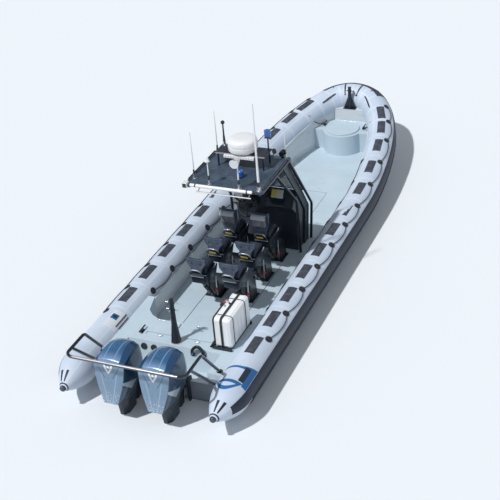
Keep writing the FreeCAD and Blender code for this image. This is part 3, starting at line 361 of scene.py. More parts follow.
def swept(frames, ring, sizes=None, walks=None):
    """A solid whose outline, drawn outboard and up, is carried along frames. It keeps each corner's angle."""
    bm = bmesh.new()
    along = bm.verts.layers.float.new("along")
    around = bm.verts.layers.float.new("around")
    sizes = sizes or [1.0] * len(frames)
    walks = walks or [0.0] * len(frames)
    top = bm.faces.new([bm.verts.new((a, b, 0.0)) for a, b in ring])
    for v in top.verts:
        v[around] = (math.degrees(math.atan2(v.co.y, v.co.x)) + 450.0) % 360.0 - 90.0
        v[along] = walks[0]
    here = frames[0] @ Matrix.Diagonal((sizes[0], sizes[0], 1, 1))
    bmesh.ops.transform(bm, matrix=here, verts=top.verts)
    for frame_here, size, walk in zip(frames[1:], sizes[1:], walks[1:]):
        goal = frame_here @ Matrix.Diagonal((size, size, 1, 1))
        made = bmesh.ops.extrude_face_region(bm, geom=[top])["geom"]
        top = [g for g in made if isinstance(g, bmesh.types.BMFace)][0]
        bmesh.ops.transform(bm, matrix=goal @ here.inverted(), verts=top.verts)
        for v in top.verts:
            v[along] = walk
        here = goal
    bmesh.ops.recalc_face_normals(bm, faces=bm.faces)
    return bm


def circle(radius, count):
    return polar([(radius, 360.0 * i / count - 90.0) for i in range(count)])


def piece(name, bm, finish, slot, replaces=(), smooth=38.0, body="boat"):
    """Makes a shape a named piece that rides on one body. Edges sharper than smooth stay sharp."""
    mesh = as_mesh(name, bm)
    for one in finish if isinstance(finish, tuple) else (finish,):
        mesh.materials.append(one)
    mesh.shade_smooth()
    mesh.set_sharp_from_angle(angle=math.radians(smooth))
    made = placed(name, mesh)
    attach(made, body)
    if replaces:
        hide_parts(*replaces)
    return made


def join(bm, other):
    """Adds a second mesh to the first."""
    lump = as_mesh("lump", other)
    bm.from_mesh(lump)
    bpy.data.meshes.remove(lump)
    return bm


def moved(bm, at):
    """Moves a whole shape to a point, or by a matrix."""
    bmesh.ops.transform(bm, matrix=at if isinstance(at, Matrix) else Matrix.Translation(at), verts=bm.verts)
    return bm


def mirror_over(bm):
    """The same shape on the other side of the centreline, turned the right way out."""
    moved(bm, Matrix.Diagonal((1, -1, 1, 1)))
    bmesh.ops.reverse_faces(bm, faces=bm.faces)
    return bm


def with_twin(bm):
    """A shape and its mirror image on the other side of the boat."""
    return join(bm, mirror_over(bm.copy()))


seam_walks = [walk + PATCH_PITCH / 2 for walk in patch_walks[:6]]
seam_walks += [tube_walk[nearest(corner)] for corner in ROUTE[1:]]
cone_walks = [-CONE_L + CONE_L * i / CONE_STEPS for i in range(CONE_STEPS)]
cone_frames = [Matrix.Translation((w, -CONE_SET * (w / CONE_L) ** 2, 0)) @ tube_frames[0] for w in cone_walks]
cone_swell = [math.sin(math.pi / 2 * (w + CONE_L) / CONE_L) ** 0.90 for w in cone_walks]
cone_sizes = [(CONE_TIP_R + (TUBE_R - CONE_TIP_R) * swell) / TUBE_R for swell in cone_swell]
body_walks = tube_walk[:half_way + 1]
body_sizes = [1.0 - 0.007 * math.exp(-(min(abs(w - s) for s in [0.0] + seam_walks) / 0.028) ** 2)
              for w in body_walks]
for side, sign in SIDES:
    tube = Finish("tube_fabric_" + side)
    run, turn = (tube.node("ShaderNodeAttribute", {"attribute_name": name}, {}, "Fac")
                 for name in ("along", "around"))
    tapes = turn.band(24.0, 7.0, 0.4).either(turn.band(124.0, 7.0, 0.4))
    for walk in seam_walks:
        tapes = tapes.either(run.band(walk, 0.05, 0.002))
    cloud = tube.noise(1.6, 5.0)
    soil = tube.noise(9.0, 6.0, 0.7)
    fabric = tube.mix(cloud.over(0.35, 0.7), (0.505, 0.585, 0.70), (0.575, 0.655, 0.765))
    fabric = tube.mix(soil.over(0.56, 0.74) * 0.35, fabric, (0.39, 0.465, 0.54))
    fabric = tube.mix(tapes * 0.45, fabric, (0.67, 0.74, 0.82))
    fabric = tube.mix(run.band(-0.566, 0.016, 0.003), fabric, (0.02, 0.03, 0.05))
    if side == "starboard":
        # Blue decal: a band, a field outboard of the badge and a pointed hoop with a pale middle. The field
        # is partly decal blue and partly painted shade on the tube's outboard side.
        ahead_edge = (80 - turn).either(0.0) * 0.0019 + 0.345
        behind_edge = ((turn - 97) * (turn - 97) * (1 / 2116) - 1) * 0.21
        above = (ahead_edge - run).over(0.0, 0.003) * turn.over(31, 32)
        decal_field_and_shade = above * turn.under(51, 52) * run.over(-0.043, -0.040)
        hoop = (run - behind_edge).over(0.0, 0.003) * run.under(0.009, 0.012)
        middle = (run - behind_edge).over(0.068, 0.071) * run.under(-0.058, -0.055)
        decal_and_shade = (above * run.over(0.292, 0.295)).either(decal_field_and_shade).either(hoop * (1 - middle))
        fabric = tube.mix(decal_and_shade, fabric, (0.020, 0.125, 0.33))
        badge = run.band(0.19, 0.32, 0.006) * turn.band(60.0, 17.0, 1.0)
        fabric = tube.mix(badge, fabric, (0.02, 0.028, 0.05))
    for degrees, width in ((60.0, 14.0), (94.0, 13.0)):
        strip = run.band(-0.46, 0.16, 0.004) * turn.band(degrees, width, 1.0)
        fabric = tube.mix(strip, fabric, (0.012, 0.014, 0.02))
    relief = tapes * 0.0009 + cloud * 0.004 + tube.noise(700.0, 2.0) * 0.0002
    tube_cloth = tube.coat(base_color=fabric, roughness=0.42 + soil * 0.18, specular=0.4,
                           normal=tube.bump(relief, 1.0))
    bm = swept(cone_frames + tube_frames[:half_way + 1], circle(TUBE_R, 64), cone_sizes + body_sizes,
               cone_walks + body_walks)
    if sign < 0:
        mirror_over(bm)
    piece(f"tube_{side}_skin", bm, tube_cloth, slot="collar_fabric", replaces=["tube_" + side], smooth=60.0)


# Rubbing strakes: thick black rubber along the outboard lower side of each tube, moulded with lengthwise
# ribs and bonded to the fabric from just ahead of the cone to the bow.
STRAKE_T = 0.024
STRAKE_START_X = -4.48
STRAKE_LOW, STRAKE_HIGH = -62.0, -12.0               # degrees above level


def worn(name, grain, span, clean, dirty, rough, rougher=0.0, relief=None, **sockets):
    """A finish that wears from one colour to another with a noise of some grain, or a span of it.
    Wear may make it rougher, and relief is a depth and the grain of what stands up."""
    finish = Finish(name)
    wear = finish.noise(*grain)
    if relief:
        sockets["normal"] = finish.bump(finish.noise(*relief[1:]), relief[0])
    return finish.coat(base_color=finish.mix(wear.over(*span) if span else wear, clean, dirty),
                       roughness=wear * rougher + rough if rougher else rough, **sockets)


strake_ring = [(TUBE_R - 0.002, STRAKE_LOW)]
strake_ring += [(TUBE_R + STRAKE_T * (0.82 + 0.18 * (i % 2)),
                 STRAKE_LOW + 3 + (STRAKE_HIGH - STRAKE_LOW - 6) * i / 8) for i in range(9)]
strake_ring += [(TUBE_R - 0.002, STRAKE_HIGH)] + [(TUBE_R - 0.004, STRAKE_HIGH - 12.5 * i) for i in (1, 2, 3)]
strake_black = worn("strake_rubber", (5.0, 6.0, 0.65), (0.4, 0.75), (0.007, 0.016, 0.036),
                    (0.018, 0.034, 0.064), 0.48, 0.2, (0.0006, 260.0, 2.0))
strake_start = min(range(half_way), key=lambda i: abs(tube_line[i].x - STRAKE_START_X))
bm = with_twin(swept(tube_frames[strake_start:half_way + 1:2], polar(strake_ring)))
piece("strakes_ribbed", bm, strake_black, slot="black_rubber", replaces=["rubbing_strakes"], smooth=25.0)


# Wear sheets: dark navy rubber 4 mm thick that saves the fabric above each strake. Each is bonded on from
# the cone forward to the bow. They reach up over the tube's shaded outboard side, so they are partly
# real sheet and partly painted shade.
def sheet_ring(low, high, steps, outer, inner=-0.002):
    """Outline of a sheet bent round the tube between two angles, its faces at two heights over the fabric."""
    angles = [low + (high - low) * i / steps for i in range(steps + 1)]
    return polar([(TUBE_R + outer, a) for a in angles] + [(TUBE_R + inner, a) for a in reversed(angles)])


SHEET_OVER_CONE = 0.40
first = min(range(CONE_STEPS), key=lambda i: abs(cone_walks[i] + SHEET_OVER_CONE))
sheet_frames = tube_frames[:half_way + 1:2]
bm = swept(cone_frames[first:] + sheet_frames, sheet_ring(-13.0, 30.0, 10, 0.004, -0.004),
           cone_sizes[first:] + [1.0] * len(sheet_frames))
piece("wear_and_shade_sheets", with_twin(bm), strake_black, slot="black_rubber", smooth=30.0)

# Cone end plugs: domed mouldings of dark rubber. One is clamped into the aft end of each cone, which it
# closes and protects.
cap_black = worn("cap_rubber", (40.0, 4.0), None, (0.03, 0.045, 0.075), (0.06, 0.085, 0.13), 0.25)
PLUG = [  # depth aft of the cone, size
    (0.046, 0.36), (0.043, 0.66), (0.036, 0.86), (0.026, 0.97), (0.016, 1.0), (-0.012, 1.0),
]
plug_frames = [Matrix.Translation((-CONE_L - depth, -CONE_SET, 0)) @ tube_frames[0] for depth, size in PLUG]
bm = with_twin(swept(plug_frames, circle(0.049, 32), [size for depth, size in PLUG]))
piece("cone_end_plugs", bm, cap_black, slot="black_rubber", replaces=["cone_end_caps"], smooth=40.0)


# Tread patches and the cover round the bow: moulded rubber sheet with a diamond tread to step on, bonded
# flat on the upper side of the tubes.
def dress(finish, *nodes):
    """Gives solids of the frame a finish."""
    for name in nodes:
        for material_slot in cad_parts[name].material_slots:
            material_slot.material = finish


tread = Finish("tread_rubber")
tx, ty, _ = tread.axes()
weave = (tx + ty).waves(420.0) * (tx - ty).waves(420.0)
scuff = tread.noise(14.0, 5.0, 0.6)
tread_grey = tread.coat(
    base_color=tread.mix(scuff.over(0.42, 0.72), (0.038, 0.045, 0.062), (0.085, 0.095, 0.12)),
    roughness=0.62 + scuff * 0.2, normal=tread.bump(weave.over(0.1, 0.5), 0.0012))
dress(tread_grey, "tread_patches")
cover_start = nearest(ROUTE[7])
bm = swept(tube_frames[cover_start:2 * half_way + 1 - cover_start:2],
           sheet_ring(-8.0, 84.0, 12, 0.008, -0.003))
piece("bow_cover_sheet", bm, tread_grey, slot="tread_rubber", replaces=["bow_chafe_cover"])

# Lifeline pads: oval bases of moulded black rubber, each with a raised eye that the rope runs through.
# They are bonded to the fabric on both sides of each tube.
PAD_LONG, PAD_WIDE = 0.064, 0.056
PAD_STEPS = ((0.0, 0.012), (0.10, 0.003), (0.28, -0.002), (0.14, 0.008), (0.20, 0.001))  # inset, rise


def lifted(bm, faces, by, keep=False):
    """Pulls faces out by a vector. Those they came from stay only where asked for."""
    grown = bmesh.ops.extrude_face_region(bm, geom=faces)["geom"]
    if not keep:
        bmesh.ops.delete(bm, geom=faces, context="FACES_ONLY")
    made = [g for g in grown if isinstance(g, bmesh.types.BMFace)]
    bmesh.ops.translate(bm, verts=list({v for f in made for v in f.verts}), vec=by)
    return made


def stepped_disc(radius, corners, steps, place):
    """A round moulding set at a place: each step insets its top face and lifts it."""
    disc = bmesh.new()
    bmesh.ops.create_circle(disc, cap_ends=True, segments=corners, radius=radius)
    top = disc.faces[:]
    for inset, rise in steps:
        if inset:
            bmesh.ops.inset_region(disc, faces=top, thickness=inset)
        if rise:
            top = lifted(disc, top, (0, 0, rise))
    return moved(disc, place)


def facing_out(k, degrees, reach=0.0):
    """A place on the fabric whose Z axis points outwards."""
    return (tube_frames[k] @ Matrix.Rotation(math.radians(degrees), 4, "Z")
            @ Matrix.Translation((TUBE_R + reach, 0, 0)) @ Matrix.Rotation(math.radians(90), 4, "Y"))


pad_black = worn("pad_rubber", (30.0, 4.0), None, (0.010, 0.012, 0.016), (0.05, 0.055, 0.07), 0.45)
bm = bmesh.new()
for places, degrees in ((outer_pads, 60.0), (inner_pads, 150.0)):
    for walk in places:
        lie = facing_out(station(walk), degrees, -0.006) @ Matrix.Diagonal((PAD_LONG, PAD_WIDE, 1, 1))
        join(bm, stepped_disc(1.0, 20, PAD_STEPS, lie))
with_twin(bm)
bmesh.ops.recalc_face_normals(bm, faces=bm.faces)
piece("pads_with_eyes", bm, pad_black, slot="black_rubber", replaces=["lifeline_pads"], smooth=30.0)

# Straps and handles on the bow tubes: black webbing round the tube beside the post, stiff rubber carrying
# handles on the inboard upper side, and thin strips ahead of them.
STRAP_FROM_BOW, STRAP_HALF_W = 0.16, 0.015
HANDLES = [  # near end, far end, half width, rise over the fabric
    ((4.318, 0.458, 1.0), (4.635, 0.316, 1.05), 0.014, 0.016),
    ((5.011, 0.565, 1.1), (4.77, 0.40, 1.1), 0.006, 0.006),
]
strap_k = station(tube_walk[half_way] - STRAP_FROM_BOW)
bm = swept([tube_frames[strap_k] @ Matrix.Translation((0, 0, s)) for s in (-STRAP_HALF_W, STRAP_HALF_W)],
           sheet_ring(20.0, 150.0, 20, 0.004))
for near, far, half_w, rise in HANDLES:
    ends = []
    for spot in (near, far):
        k = nearest(spot)
        local = tube_frames[k].inverted() @ Vector(spot)
        ends.append((tube_walk[k], math.degrees(math.atan2(local.y, local.x))))
    line = []
    for i in range(13):
        walk, degrees = (a + (b - a) * i / 12 for a, b in zip(*ends))
        line.append(on_tube(walk, degrees, rise * math.sin(math.pi * i / 12) + 0.001))
    outline = [(-half_w, -0.004), (half_w, -0.004), (half_w * 0.8, 0.008), (-half_w * 0.8, 0.008)]
    join(bm, swept(frames_along(line), outline))
piece("bow_straps_and_handles", with_twin(bm), pad_black, slot="black_rubber")

# Inflation valve, on the port tube beside the aft deck: a pale raised doubler of tube fabric, a blue square
# with a black screw cap on it, and two dark pull strips, all bonded on.
VALVE_X = -3.63
valve_k = station(VALVE_X - TUBE_START_X)
doubler_pale = worn("valve_doubler", (30.0, 4.0), None, (0.70, 0.73, 0.79), (0.62, 0.66, 0.72), 0.45)
square_blue = worn("valve_square", (30.0, 4.0), None, (0.012, 0.105, 0.25), (0.02, 0.14, 0.31), 0.45)
VALVE_SHEETS = (  # name, finish, slot; for each sheet half length, shift aft, angle, span and rise
    ("valve_doubler", doubler_pale, "collar_fabric", ((0.215, 0.052, 118.0, 50.0, 0.003),)),
    ("valve_square", square_blue, "collar_fabric", ((0.062, 0.0, 110.0, 22.0, 0.006),)),
    ("valve_strips", pad_black, "black_rubber",
     ((0.175, 0.0, 134.0, 3.6, 0.010), (0.160, 0.0, 145.0, 2.4, 0.009))),
)
for name, skin, slot, sheets in VALVE_SHEETS:
    bm = bmesh.new()
    for half_l, shift, angle, span, rise in sheets:
        ends = [tube_frames[valve_k] @ Matrix.Translation((0, 0, s - shift)) for s in (-half_l, half_l)]
        join(bm, swept(ends, sheet_ring(angle - span / 2, angle + span / 2, 8, rise)))
    piece(name, bm, skin, slot=slot, smooth=30.0)
bm = stepped_disc(0.030, 28, ((0.0, 0.011), (0.007, -0.004), (0.012, 0.005)),
                  facing_out(valve_k, 110.0, 0.004))
piece("valve_cap", bm, pad_black, slot="black_rubber", smooth=30.0)


# Hull: one glass-fibre moulding with white topsides over a dark bottom and a thin line of salt at the
# water. The tubes are bonded to its sides.
shell = Finish("hull_gelcoat")
hx, _, hz = shell.axes()
level_lines = shell.node("ShaderNodeMapping", {}, {"Vector": shell.place, "Scale": (1, 1, 6)})
streak = shell.noise(3.0, 5.0, place=level_lines)
topside = shell.mix(streak.over(0.45, 0.8), (0.60, 0.64, 0.67), (0.50, 0.55, 0.58))
bottom = shell.mix(streak, (0.030, 0.045, 0.075), (0.055, 0.075, 0.11))
gel_with_shade = shell.mix(hz.over(-0.03, 0.01), bottom, topside)
gel_with_shade = shell.mix(hz.band(0.015, 0.02, 0.02) * streak.over(0.3, 0.6), gel_with_shade, (0.42, 0.45, 0.44))
# The transom's aft face is darkened to dark navy: painted shade.
gel_with_shade = shell.mix(hx.under(-4.403, -4.393) * 0.85, gel_with_shade, (0.025, 0.055, 0.10))
hull_gel = shell.coat(base_color=gel_with_shade, roughness=0.28 + streak * 0.12, coat_weight=0.3,
                      normal=shell.bump(shell.noise(2.2, 2.0), 0.003))
dress(hull_gel, "hull")

# Decks, locker and hatches: pale grey-green glass fibre with a fine moulded non-slip grain, bonded into
# the hull along seams of dark sealant, and scuffed.
SOLE_Z, DECK_Z = 0.10, 0.54
LOCKER_HALF_W = 0.33
SOLE_JOINTS_X = (1.15, 2.9)
deck = Finish("deck_nonslip")
dx, dy, dz = deck.axes()
side_y = abs(dy)
flat = deck.axes(deck.node("ShaderNodeNewGeometry", {}, {}, "Normal"))[2].over(0.9, 0.97)
marks = deck.noise(11.0, 7.0, 0.72)
on_sole = dz.band(SOLE_Z, 0.01, 0.004)
seam = side_y.band(0.45, 0.008, 0.003) * on_sole * dx.over(-3.32, -3.31) * dx.under(-0.65, -0.64)
seam = seam.either(side_y.band(0.56, 0.005, 0.003) * dz.over(DECK_Z - 0.02, DECK_Z - 0.01)
                   * dx.over(-3.75, -3.74) * dx.under(-3.33, -3.32))
for x in SOLE_JOINTS_X:
    seam = seam.either(dx.band(x, 0.004, 0.003) * on_sole * 0.22)
hatch = side_y.band(LOCKER_HALF_W, 0.007, 0.003) * dx.over(1.15, 1.16) * dx.under(2.115, 2.12)
hatch = hatch.either(dx.band(2.12, 0.007, 0.003) * side_y.under(LOCKER_HALF_W - 0.002, LOCKER_HALF_W + 0.002))
seam = seam.either(hatch * on_sole * 0.7) * flat
tone = deck.mix(deck.noise(1.3, 6.0, 0.6).over(0.35, 0.7), (0.455, 0.56, 0.635), (0.515, 0.62, 0.69))
tone = deck.mix(marks.over(0.56, 0.72) * 0.5 * flat, tone, (0.36, 0.44, 0.47))
tone = deck.mix(seam, tone, (0.06, 0.08, 0.10))
deck_grey = deck.coat(base_color=tone, roughness=0.52 + marks * 0.15,
                      normal=deck.bump(deck.cells(190.0) * flat * 0.0012 - seam * 0.003, 1.0))
dress(deck_grey, "cockpit_sole", "aft_deck", "bow_locker", "bow_locker_lid", "deck_hatch_port",
      "deck_hatch_starboard")

# Splash well vents: round louvres of black plastic, with rings inside each other on a flange. They are
# set into the well's forward wall.
WELL_WALL_X = -3.905           # of the wall at the deck's edge; it leans back 70 mm in 360
VENT_BELOW_DECK = 0.1
VENT_WAY = Vector((-0.36, 0, 0.07)).normalized()
VENT_STEPS = ((0.0, 0.012), (0.004, 0.003), (0.010, -0.002), (0.003, -0.009), (0.010, 0.0), (0.003, 0.006),
              (0.010, 0.0), (0.003, -0.006))
vent_black = worn("vent_plastic", (60.0, 3.0), None, (0.018, 0.022, 0.03), (0.045, 0.052, 0.065), 0.4,
                  relief=(0.0006, 60.0, 3.0))
bm = bmesh.new()
for y in (0.51, 0.34):
    spot = Matrix.Translation((WELL_WALL_X - 0.07 * VENT_BELOW_DECK / 0.36, y, DECK_Z - VENT_BELOW_DECK))
    lie = spot @ VENT_WAY.to_track_quat("Z", "Y").to_matrix().to_4x4()
    join(bm, stepped_disc(0.054, 32, VENT_STEPS, lie))
piece("vent_louvres", bm, vent_black, slot="black_rubber", replaces=["well_vents"], smooth=30.0)

# Small deck fittings: U-shaped finger pulls behind the hatches and stainless screw heads round the tow
# post's foot.
PULL_X = -3.725
PULL_HALF = 0.035
POST_AT = (-3.815, 0.0, 0.556)
SCREW_CIRCLE_R = 0.077


def rod(bm, points, radius, corners, up):
    """Adds a round rod through points to a shape; up is any direction across it."""
    return join(bm, swept(frames_along(points, up), circle(radius, corners)))


def stub(bm, corners, foot_r, head_r, height, place):
    """Adds a short turned cone at a place, its middle at the origin."""
    cone = bmesh.new()
    bmesh.ops.create_cone(cone, cap_ends=True, segments=corners, radius1=foot_r, radius2=head_r, depth=height)
    return join(bm, moved(cone, place))


steel = Finish("polished_steel")
bright_steel = steel.coat(base_color=(0.62, 0.64, 0.66), metallic=1.0,
                          roughness=0.22 + steel.noise(30.0, 3.0) * 0.16)
dress(bright_steel, "lid_hinges")
bm = bmesh.new()
for y in (0.315, -0.315):
    low, high = y - PULL_HALF, y + PULL_HALF
    loop = [(PULL_X, low, 0.541), (PULL_X, low, 0.556), (PULL_X - 0.03, low, 0.558),
            (PULL_X - 0.03, high, 0.558), (PULL_X, high, 0.556), (PULL_X, high, 0.541)]
    rod(bm, spline_line(loop, 0.006), 0.005, 8, (1, 0.02, 0.3))
for x, y in polar([(SCREW_CIRCLE_R, 22.5 + 45 * i) for i in range(8)]):
    stub(bm, 10, 0.006, 0.0045, 0.004, Matrix.Translation(POST_AT) @ Matrix.Translation((x, y, 0)))
piece("deck_pulls_and_screws", bm, bright_steel, slot="stainless", smooth=30.0)

# Posts, cleats, frames and rails: aluminium and steel, welded and bolted down. They are painted glossy
# black, and are worn bright where lines and hands run. A painted highlight lies along the top of the
# engine guard rail's aft crossbar and along the T-top shelf's aft edge.
BLACK_PAINT_GRAIN = (22.0, 6.0, 0.65)
black_gloss = worn("black_paint", BLACK_PAINT_GRAIN, (0.45, 0.8), (0.006, 0.010, 0.018),
                   (0.022, 0.032, 0.048), 0.24, 0.16, (0.0006, 90.0, 2.0), coat_weight=0.25)
dress(black_gloss, "bow_post", "mooring_cleats", "ttop_frame", "raft_cradle", "seat_pedestals")
post = Finish("post_paint")
_, py, pz = post.axes()
post_rub = post.noise(26.0, 6.0, 0.65)
horn_end = abs(py).over(0.052, 0.062) * pz.over(1.05, 1.1)
post_color = post.mix(post_rub.over(0.45, 0.8), (0.010, 0.014, 0.022), (0.04, 0.05, 0.065))
post_color = post.mix(horn_end, post_color, (0.55, 0.57, 0.60))
post_color = post.mix(pz.under(0.553, 0.556), post_color, (0.60, 0.62, 0.63))
dress(post.coat(base_color=post_color, metallic=horn_end, roughness=0.26 + post_rub * 0.18), "tow_post")
rail = Finish("rail_paint")
rx, ry, rz = rail.axes()
rail_rub = rail.noise(18.0, 6.0, 0.65)
rail_wear_and_highlight = rail.mix(rail_rub.over(0.4, 0.8), (0.012, 0.018, 0.028), (0.06, 0.07, 0.085))
# Painted highlight: a pale band along the top of the aft crossbar.
crossbar_highlight = rz.over(1.184, 1.192) * rx.under(-5.30, -5.22) * abs(ry).under(0.78, 0.86)
rail_wear_and_highlight = rail.mix(crossbar_highlight * 0.85, rail_wear_and_highlight, (0.62, 0.60, 0.63))
rail_black = rail.coat(base_color=rail_wear_and_highlight, roughness=0.16 + rail_rub * 0.12, metallic=0.55, coat_weight=0.6)
dress(rail_black, "engine_guard_rail")
shelf = Finish("shelf_paint")
shelf_x, _, shelf_z = shelf.axes()
shelf_rub = shelf.noise(*BLACK_PAINT_GRAIN)
shelf_wear_and_highlight = shelf.mix(shelf_rub.over(0.45, 0.8), (0.008, 0.014, 0.024), (0.026, 0.038, 0.056))
# Painted highlight: a pale line along the shelf's aft edge.
shelf_edge_highlight = shelf_x.under(-0.988, -0.984) * shelf_z.over(2.338, 2.340)
shelf_wear_and_highlight = shelf.mix(shelf_edge_highlight * 0.8, shelf_wear_and_highlight, (0.48, 0.44, 0.46))
dress(shelf.coat(base_color=shelf_wear_and_highlight, roughness=0.26 + shelf_rub * 0.16, coat_weight=0.25), "ttop_shelf")

# Mooring lines: short black ropes, tied to eyes on the bow tubes and made fast on the cleats beside the
# locker.
MOORING_R = 0.008
MOORING_ROUTE = [(3.90, 0.752, 0.842), (3.92, 0.652, 0.854), (3.97, 0.60, 0.70), (4.06, 0.50, 0.600),
                 (4.13, 0.452, 0.575), (4.185, 0.439, 0.572)]
for side, sign in SIDES:
    rope_piece("mooring_line_" + side, [Vector((x, sign * y, z)) for x, y, z in MOORING_ROUTE], MOORING_R)


# Console: a glass-fibre pod painted dark, with a raked face. Two screens and a compass sit before the
# helm, and a throttle box with two levers stands at the centre of the dash.
def rounded(bm, soft, steps):
    """Rounds every edge of a shape."""
    bmesh.ops.bevel(bm, geom=bm.edges[:], offset=soft, segments=steps, profile=0.5, material=-1,
                    affect="EDGES")
    return bm


def plate(x0, x1, y0, y1, z0, z1, soft=0.004, steps=2):
    """A box, with rounded edges unless soft is 0."""
    box = bmesh.new()
    bmesh.ops.create_cube(box, size=1.0)
    moved(box, Matrix.Translation(((x0 + x1) / 2, (y0 + y1) / 2, (z0 + z1) / 2))
          @ Matrix.Diagonal((x1 - x0, y1 - y0, z1 - z0, 1)))
    return rounded(box, soft, steps) if soft else box


def ball(bm, corners, rings, radius, at):
    """Adds a ball to a shape."""
    made = bmesh.new()
    bmesh.ops.create_uvsphere(made, u_segments=corners, v_segments=rings, radius=radius)
    return join(bm, moved(made, at))


BROW_TOP_Z = 1.16
BROW_FACE = Matrix.Translation((-0.175, 0, 1.09)) @ Matrix.Rotation(math.radians(-51.8), 4, "Y")
pod = Finish("console_paint")
pod_cloud = pod.noise(3.0, 5.0)
pod_scratch = pod.noise(36.0, 6.0, 0.7)
pod_tone = pod.mix(pod_cloud, (0.014, 0.021, 0.034), (0.024, 0.034, 0.052))
pod_tone = pod.mix(pod_scratch.over(0.58, 0.72) * 0.5, pod_tone, (0.07, 0.085, 0.11))
dress(pod.coat(base_color=pod_tone, roughness=0.30 + pod_scratch * 0.2, coat_weight=0.2,
               normal=pod.bump(pod_cloud, 0.002)), "console")
display_dark = worn("display_glass", (4.0, 3.0), None, (0.006, 0.010, 0.016), (0.015, 0.030, 0.045), 0.08)
bm = bmesh.new()
for y in (0.06, -0.40):
    join(bm, moved(plate(-0.085, 0.085, y, y + 0.34, 0.0, 0.016), BROW_FACE))
piece("dash_screens", bm, display_dark, slot="engine_black")
bm = bmesh.new()
for y in (-0.03, 0.03):
    stub(bm, 12, 0.007, 0.006, 0.13, Matrix.Translation((-0.05, y, 1.25)) @ Matrix.Rotation(-0.35, 4, "Y"))
    ball(bm, 16, 10, 0.019, (-0.073, y, 1.318))
join(bm, plate(-0.11, 0.01, -0.075, 0.075, BROW_TOP_Z - 0.002, 1.20, 0.012, 3))
ball(bm, 24, 14, 0.062, (0.02, 0.24, BROW_TOP_Z + 0.015))
piece("throttle_and_compass", bm, vent_black, slot="engine_black", smooth=30.0)
# A bare laminated card stands on the brow, olive on one half and pale on the other.
card = Finish("brow_card")
card_tone = card.mix(card.axes()[1].over(-0.256, -0.254), (0.40, 0.43, 0.41), (0.44, 0.40, 0.10))
card_tone = card.mix(card.noise(40.0, 4.0).over(0.5, 0.8) * 0.4, card_tone, (0.20, 0.21, 0.18))
bm = plate(-0.005, 0.005, -0.365, -0.145, 0.0, 0.15)
moved(bm, Matrix.Translation((-0.165, 0, BROW_TOP_Z + 0.003)) @ Matrix.Rotation(0.5, 4, "Y"))
piece("brow_card", bm, card.coat(base_color=card_tone, roughness=0.3), slot="white_plastic")

# Steering wheel: a padded rim on three spokes, covered in grained black, on a moulded hub that is fixed
# to the dash.
grip = Finish("wheel_grip")
pebbled = grip.cells(320.0)
wheel_black = grip.coat(base_color=grip.mix(pebbled, (0.020, 0.021, 0.024), (0.010, 0.011, 0.013)),
                        roughness=0.55, normal=grip.bump(pebbled, 0.0008))
dress(wheel_black, "steering_wheel", "helm_boss")

# Side wings: tall black sheets fixed behind the front legs, pressed with upright ribs that lean as the
# legs do.
wing = Finish("wing_sheet")
wx, _, wz = wing.axes()
rib = (wx + wz * 0.38).waves(110.0).over(0.4, 0.95)
wing_cloud = wing.noise(7.0, 5.0)
wing_tone = wing.mix(wing_cloud.over(0.3, 0.7), (0.010, 0.022, 0.036), (0.02, 0.04, 0.06))
dress(wing.coat(base_color=wing_tone, roughness=0.26 + wing_cloud * 0.2, normal=wing.bump(rib, 0.005)),
      "console_wings")

# Windscreen: a sheet of smoked acrylic fixed to the front legs, with a black rubber bead round its edge
# and two thin bars over it.
LEG_FOOT, LEG_HEAD = Vector((0.540, 0, 0.760)), Vector((-0.410, 0, 2.050))
SCREEN_LOW_Z, SCREEN_HIGH_Z = 1.17, 1.99
BEAD_OUT = Vector((0.006, 0, 0))
smoked = worn("screen_acrylic", (2.0, 4.0), None, (0.035, 0.055, 0.075), (0.06, 0.085, 0.11), 0.08,
              alpha=0.62, coat_weight=0.5, specular=0.6)
smoked.surface_render_method = "DITHERED"
dress(smoked, "windscreen")
low, high = (LEG_FOOT.lerp(LEG_HEAD, (z - LEG_FOOT.z) / (LEG_HEAD.z - LEG_FOOT.z)) - BEAD_OUT
             for z in (SCREEN_LOW_Z, SCREEN_HIGH_Z))
bm = bmesh.new()
half_w = Vector((0, 0.596, 0))
edge = [low - half_w, low + half_w, high + half_w, high - half_w]
for a, b in zip(edge, edge[1:] + edge[:1]):
    inset = (b - a).normalized() * 0.002
    rod(bm, [a + inset, b - inset], 0.011, 10, (1, 0, 0) if abs(inset.x) < 0.0006 else (0, 1, 0))
for y in (-0.2, 0.2):
    rod(bm, [low + Vector((0, y, 0)), high + Vector((0, y, 0))], 0.008, 8, (0, 1, 0))
piece("screen_bead", bm, vent_black, slot="black_rubber")


# T-top roof: a flat glass-fibre panel painted dark blue-grey, worn and salt-marked, with black hand rails
# along both long edges and a thin white bar under its aft edge.
ROOF_Z, ROOF_RAIL_Z = 2.110, 2.146
top = Finish("roof_paint")
roof_x, roof_y, _ = top.axes()
patchy = top.noise(2.6, 6.0, 0.62)
salt = top.noise(17.0, 7.0, 0.72)
edge_wear = abs(roof_y).over(0.63, 0.68).either(roof_x.band(-1.71, 0.02, 0.02))
roof_tone = top.mix(patchy.over(0.36, 0.66), (0.030, 0.050, 0.080), (0.070, 0.105, 0.150))
roof_tone = top.mix(salt.over(0.52, 0.70) * 0.55, roof_tone, (0.13, 0.175, 0.23))
roof_tone = top.mix(edge_wear * 0.6, roof_tone, (0.035, 0.045, 0.06))
dress(top.coat(base_color=roof_tone, roughness=0.34 + salt * 0.25, specular=0.5,
               normal=top.bump(salt * 0.3 + patchy, 0.0015)), "ttop_roof")
bm = bmesh.new()
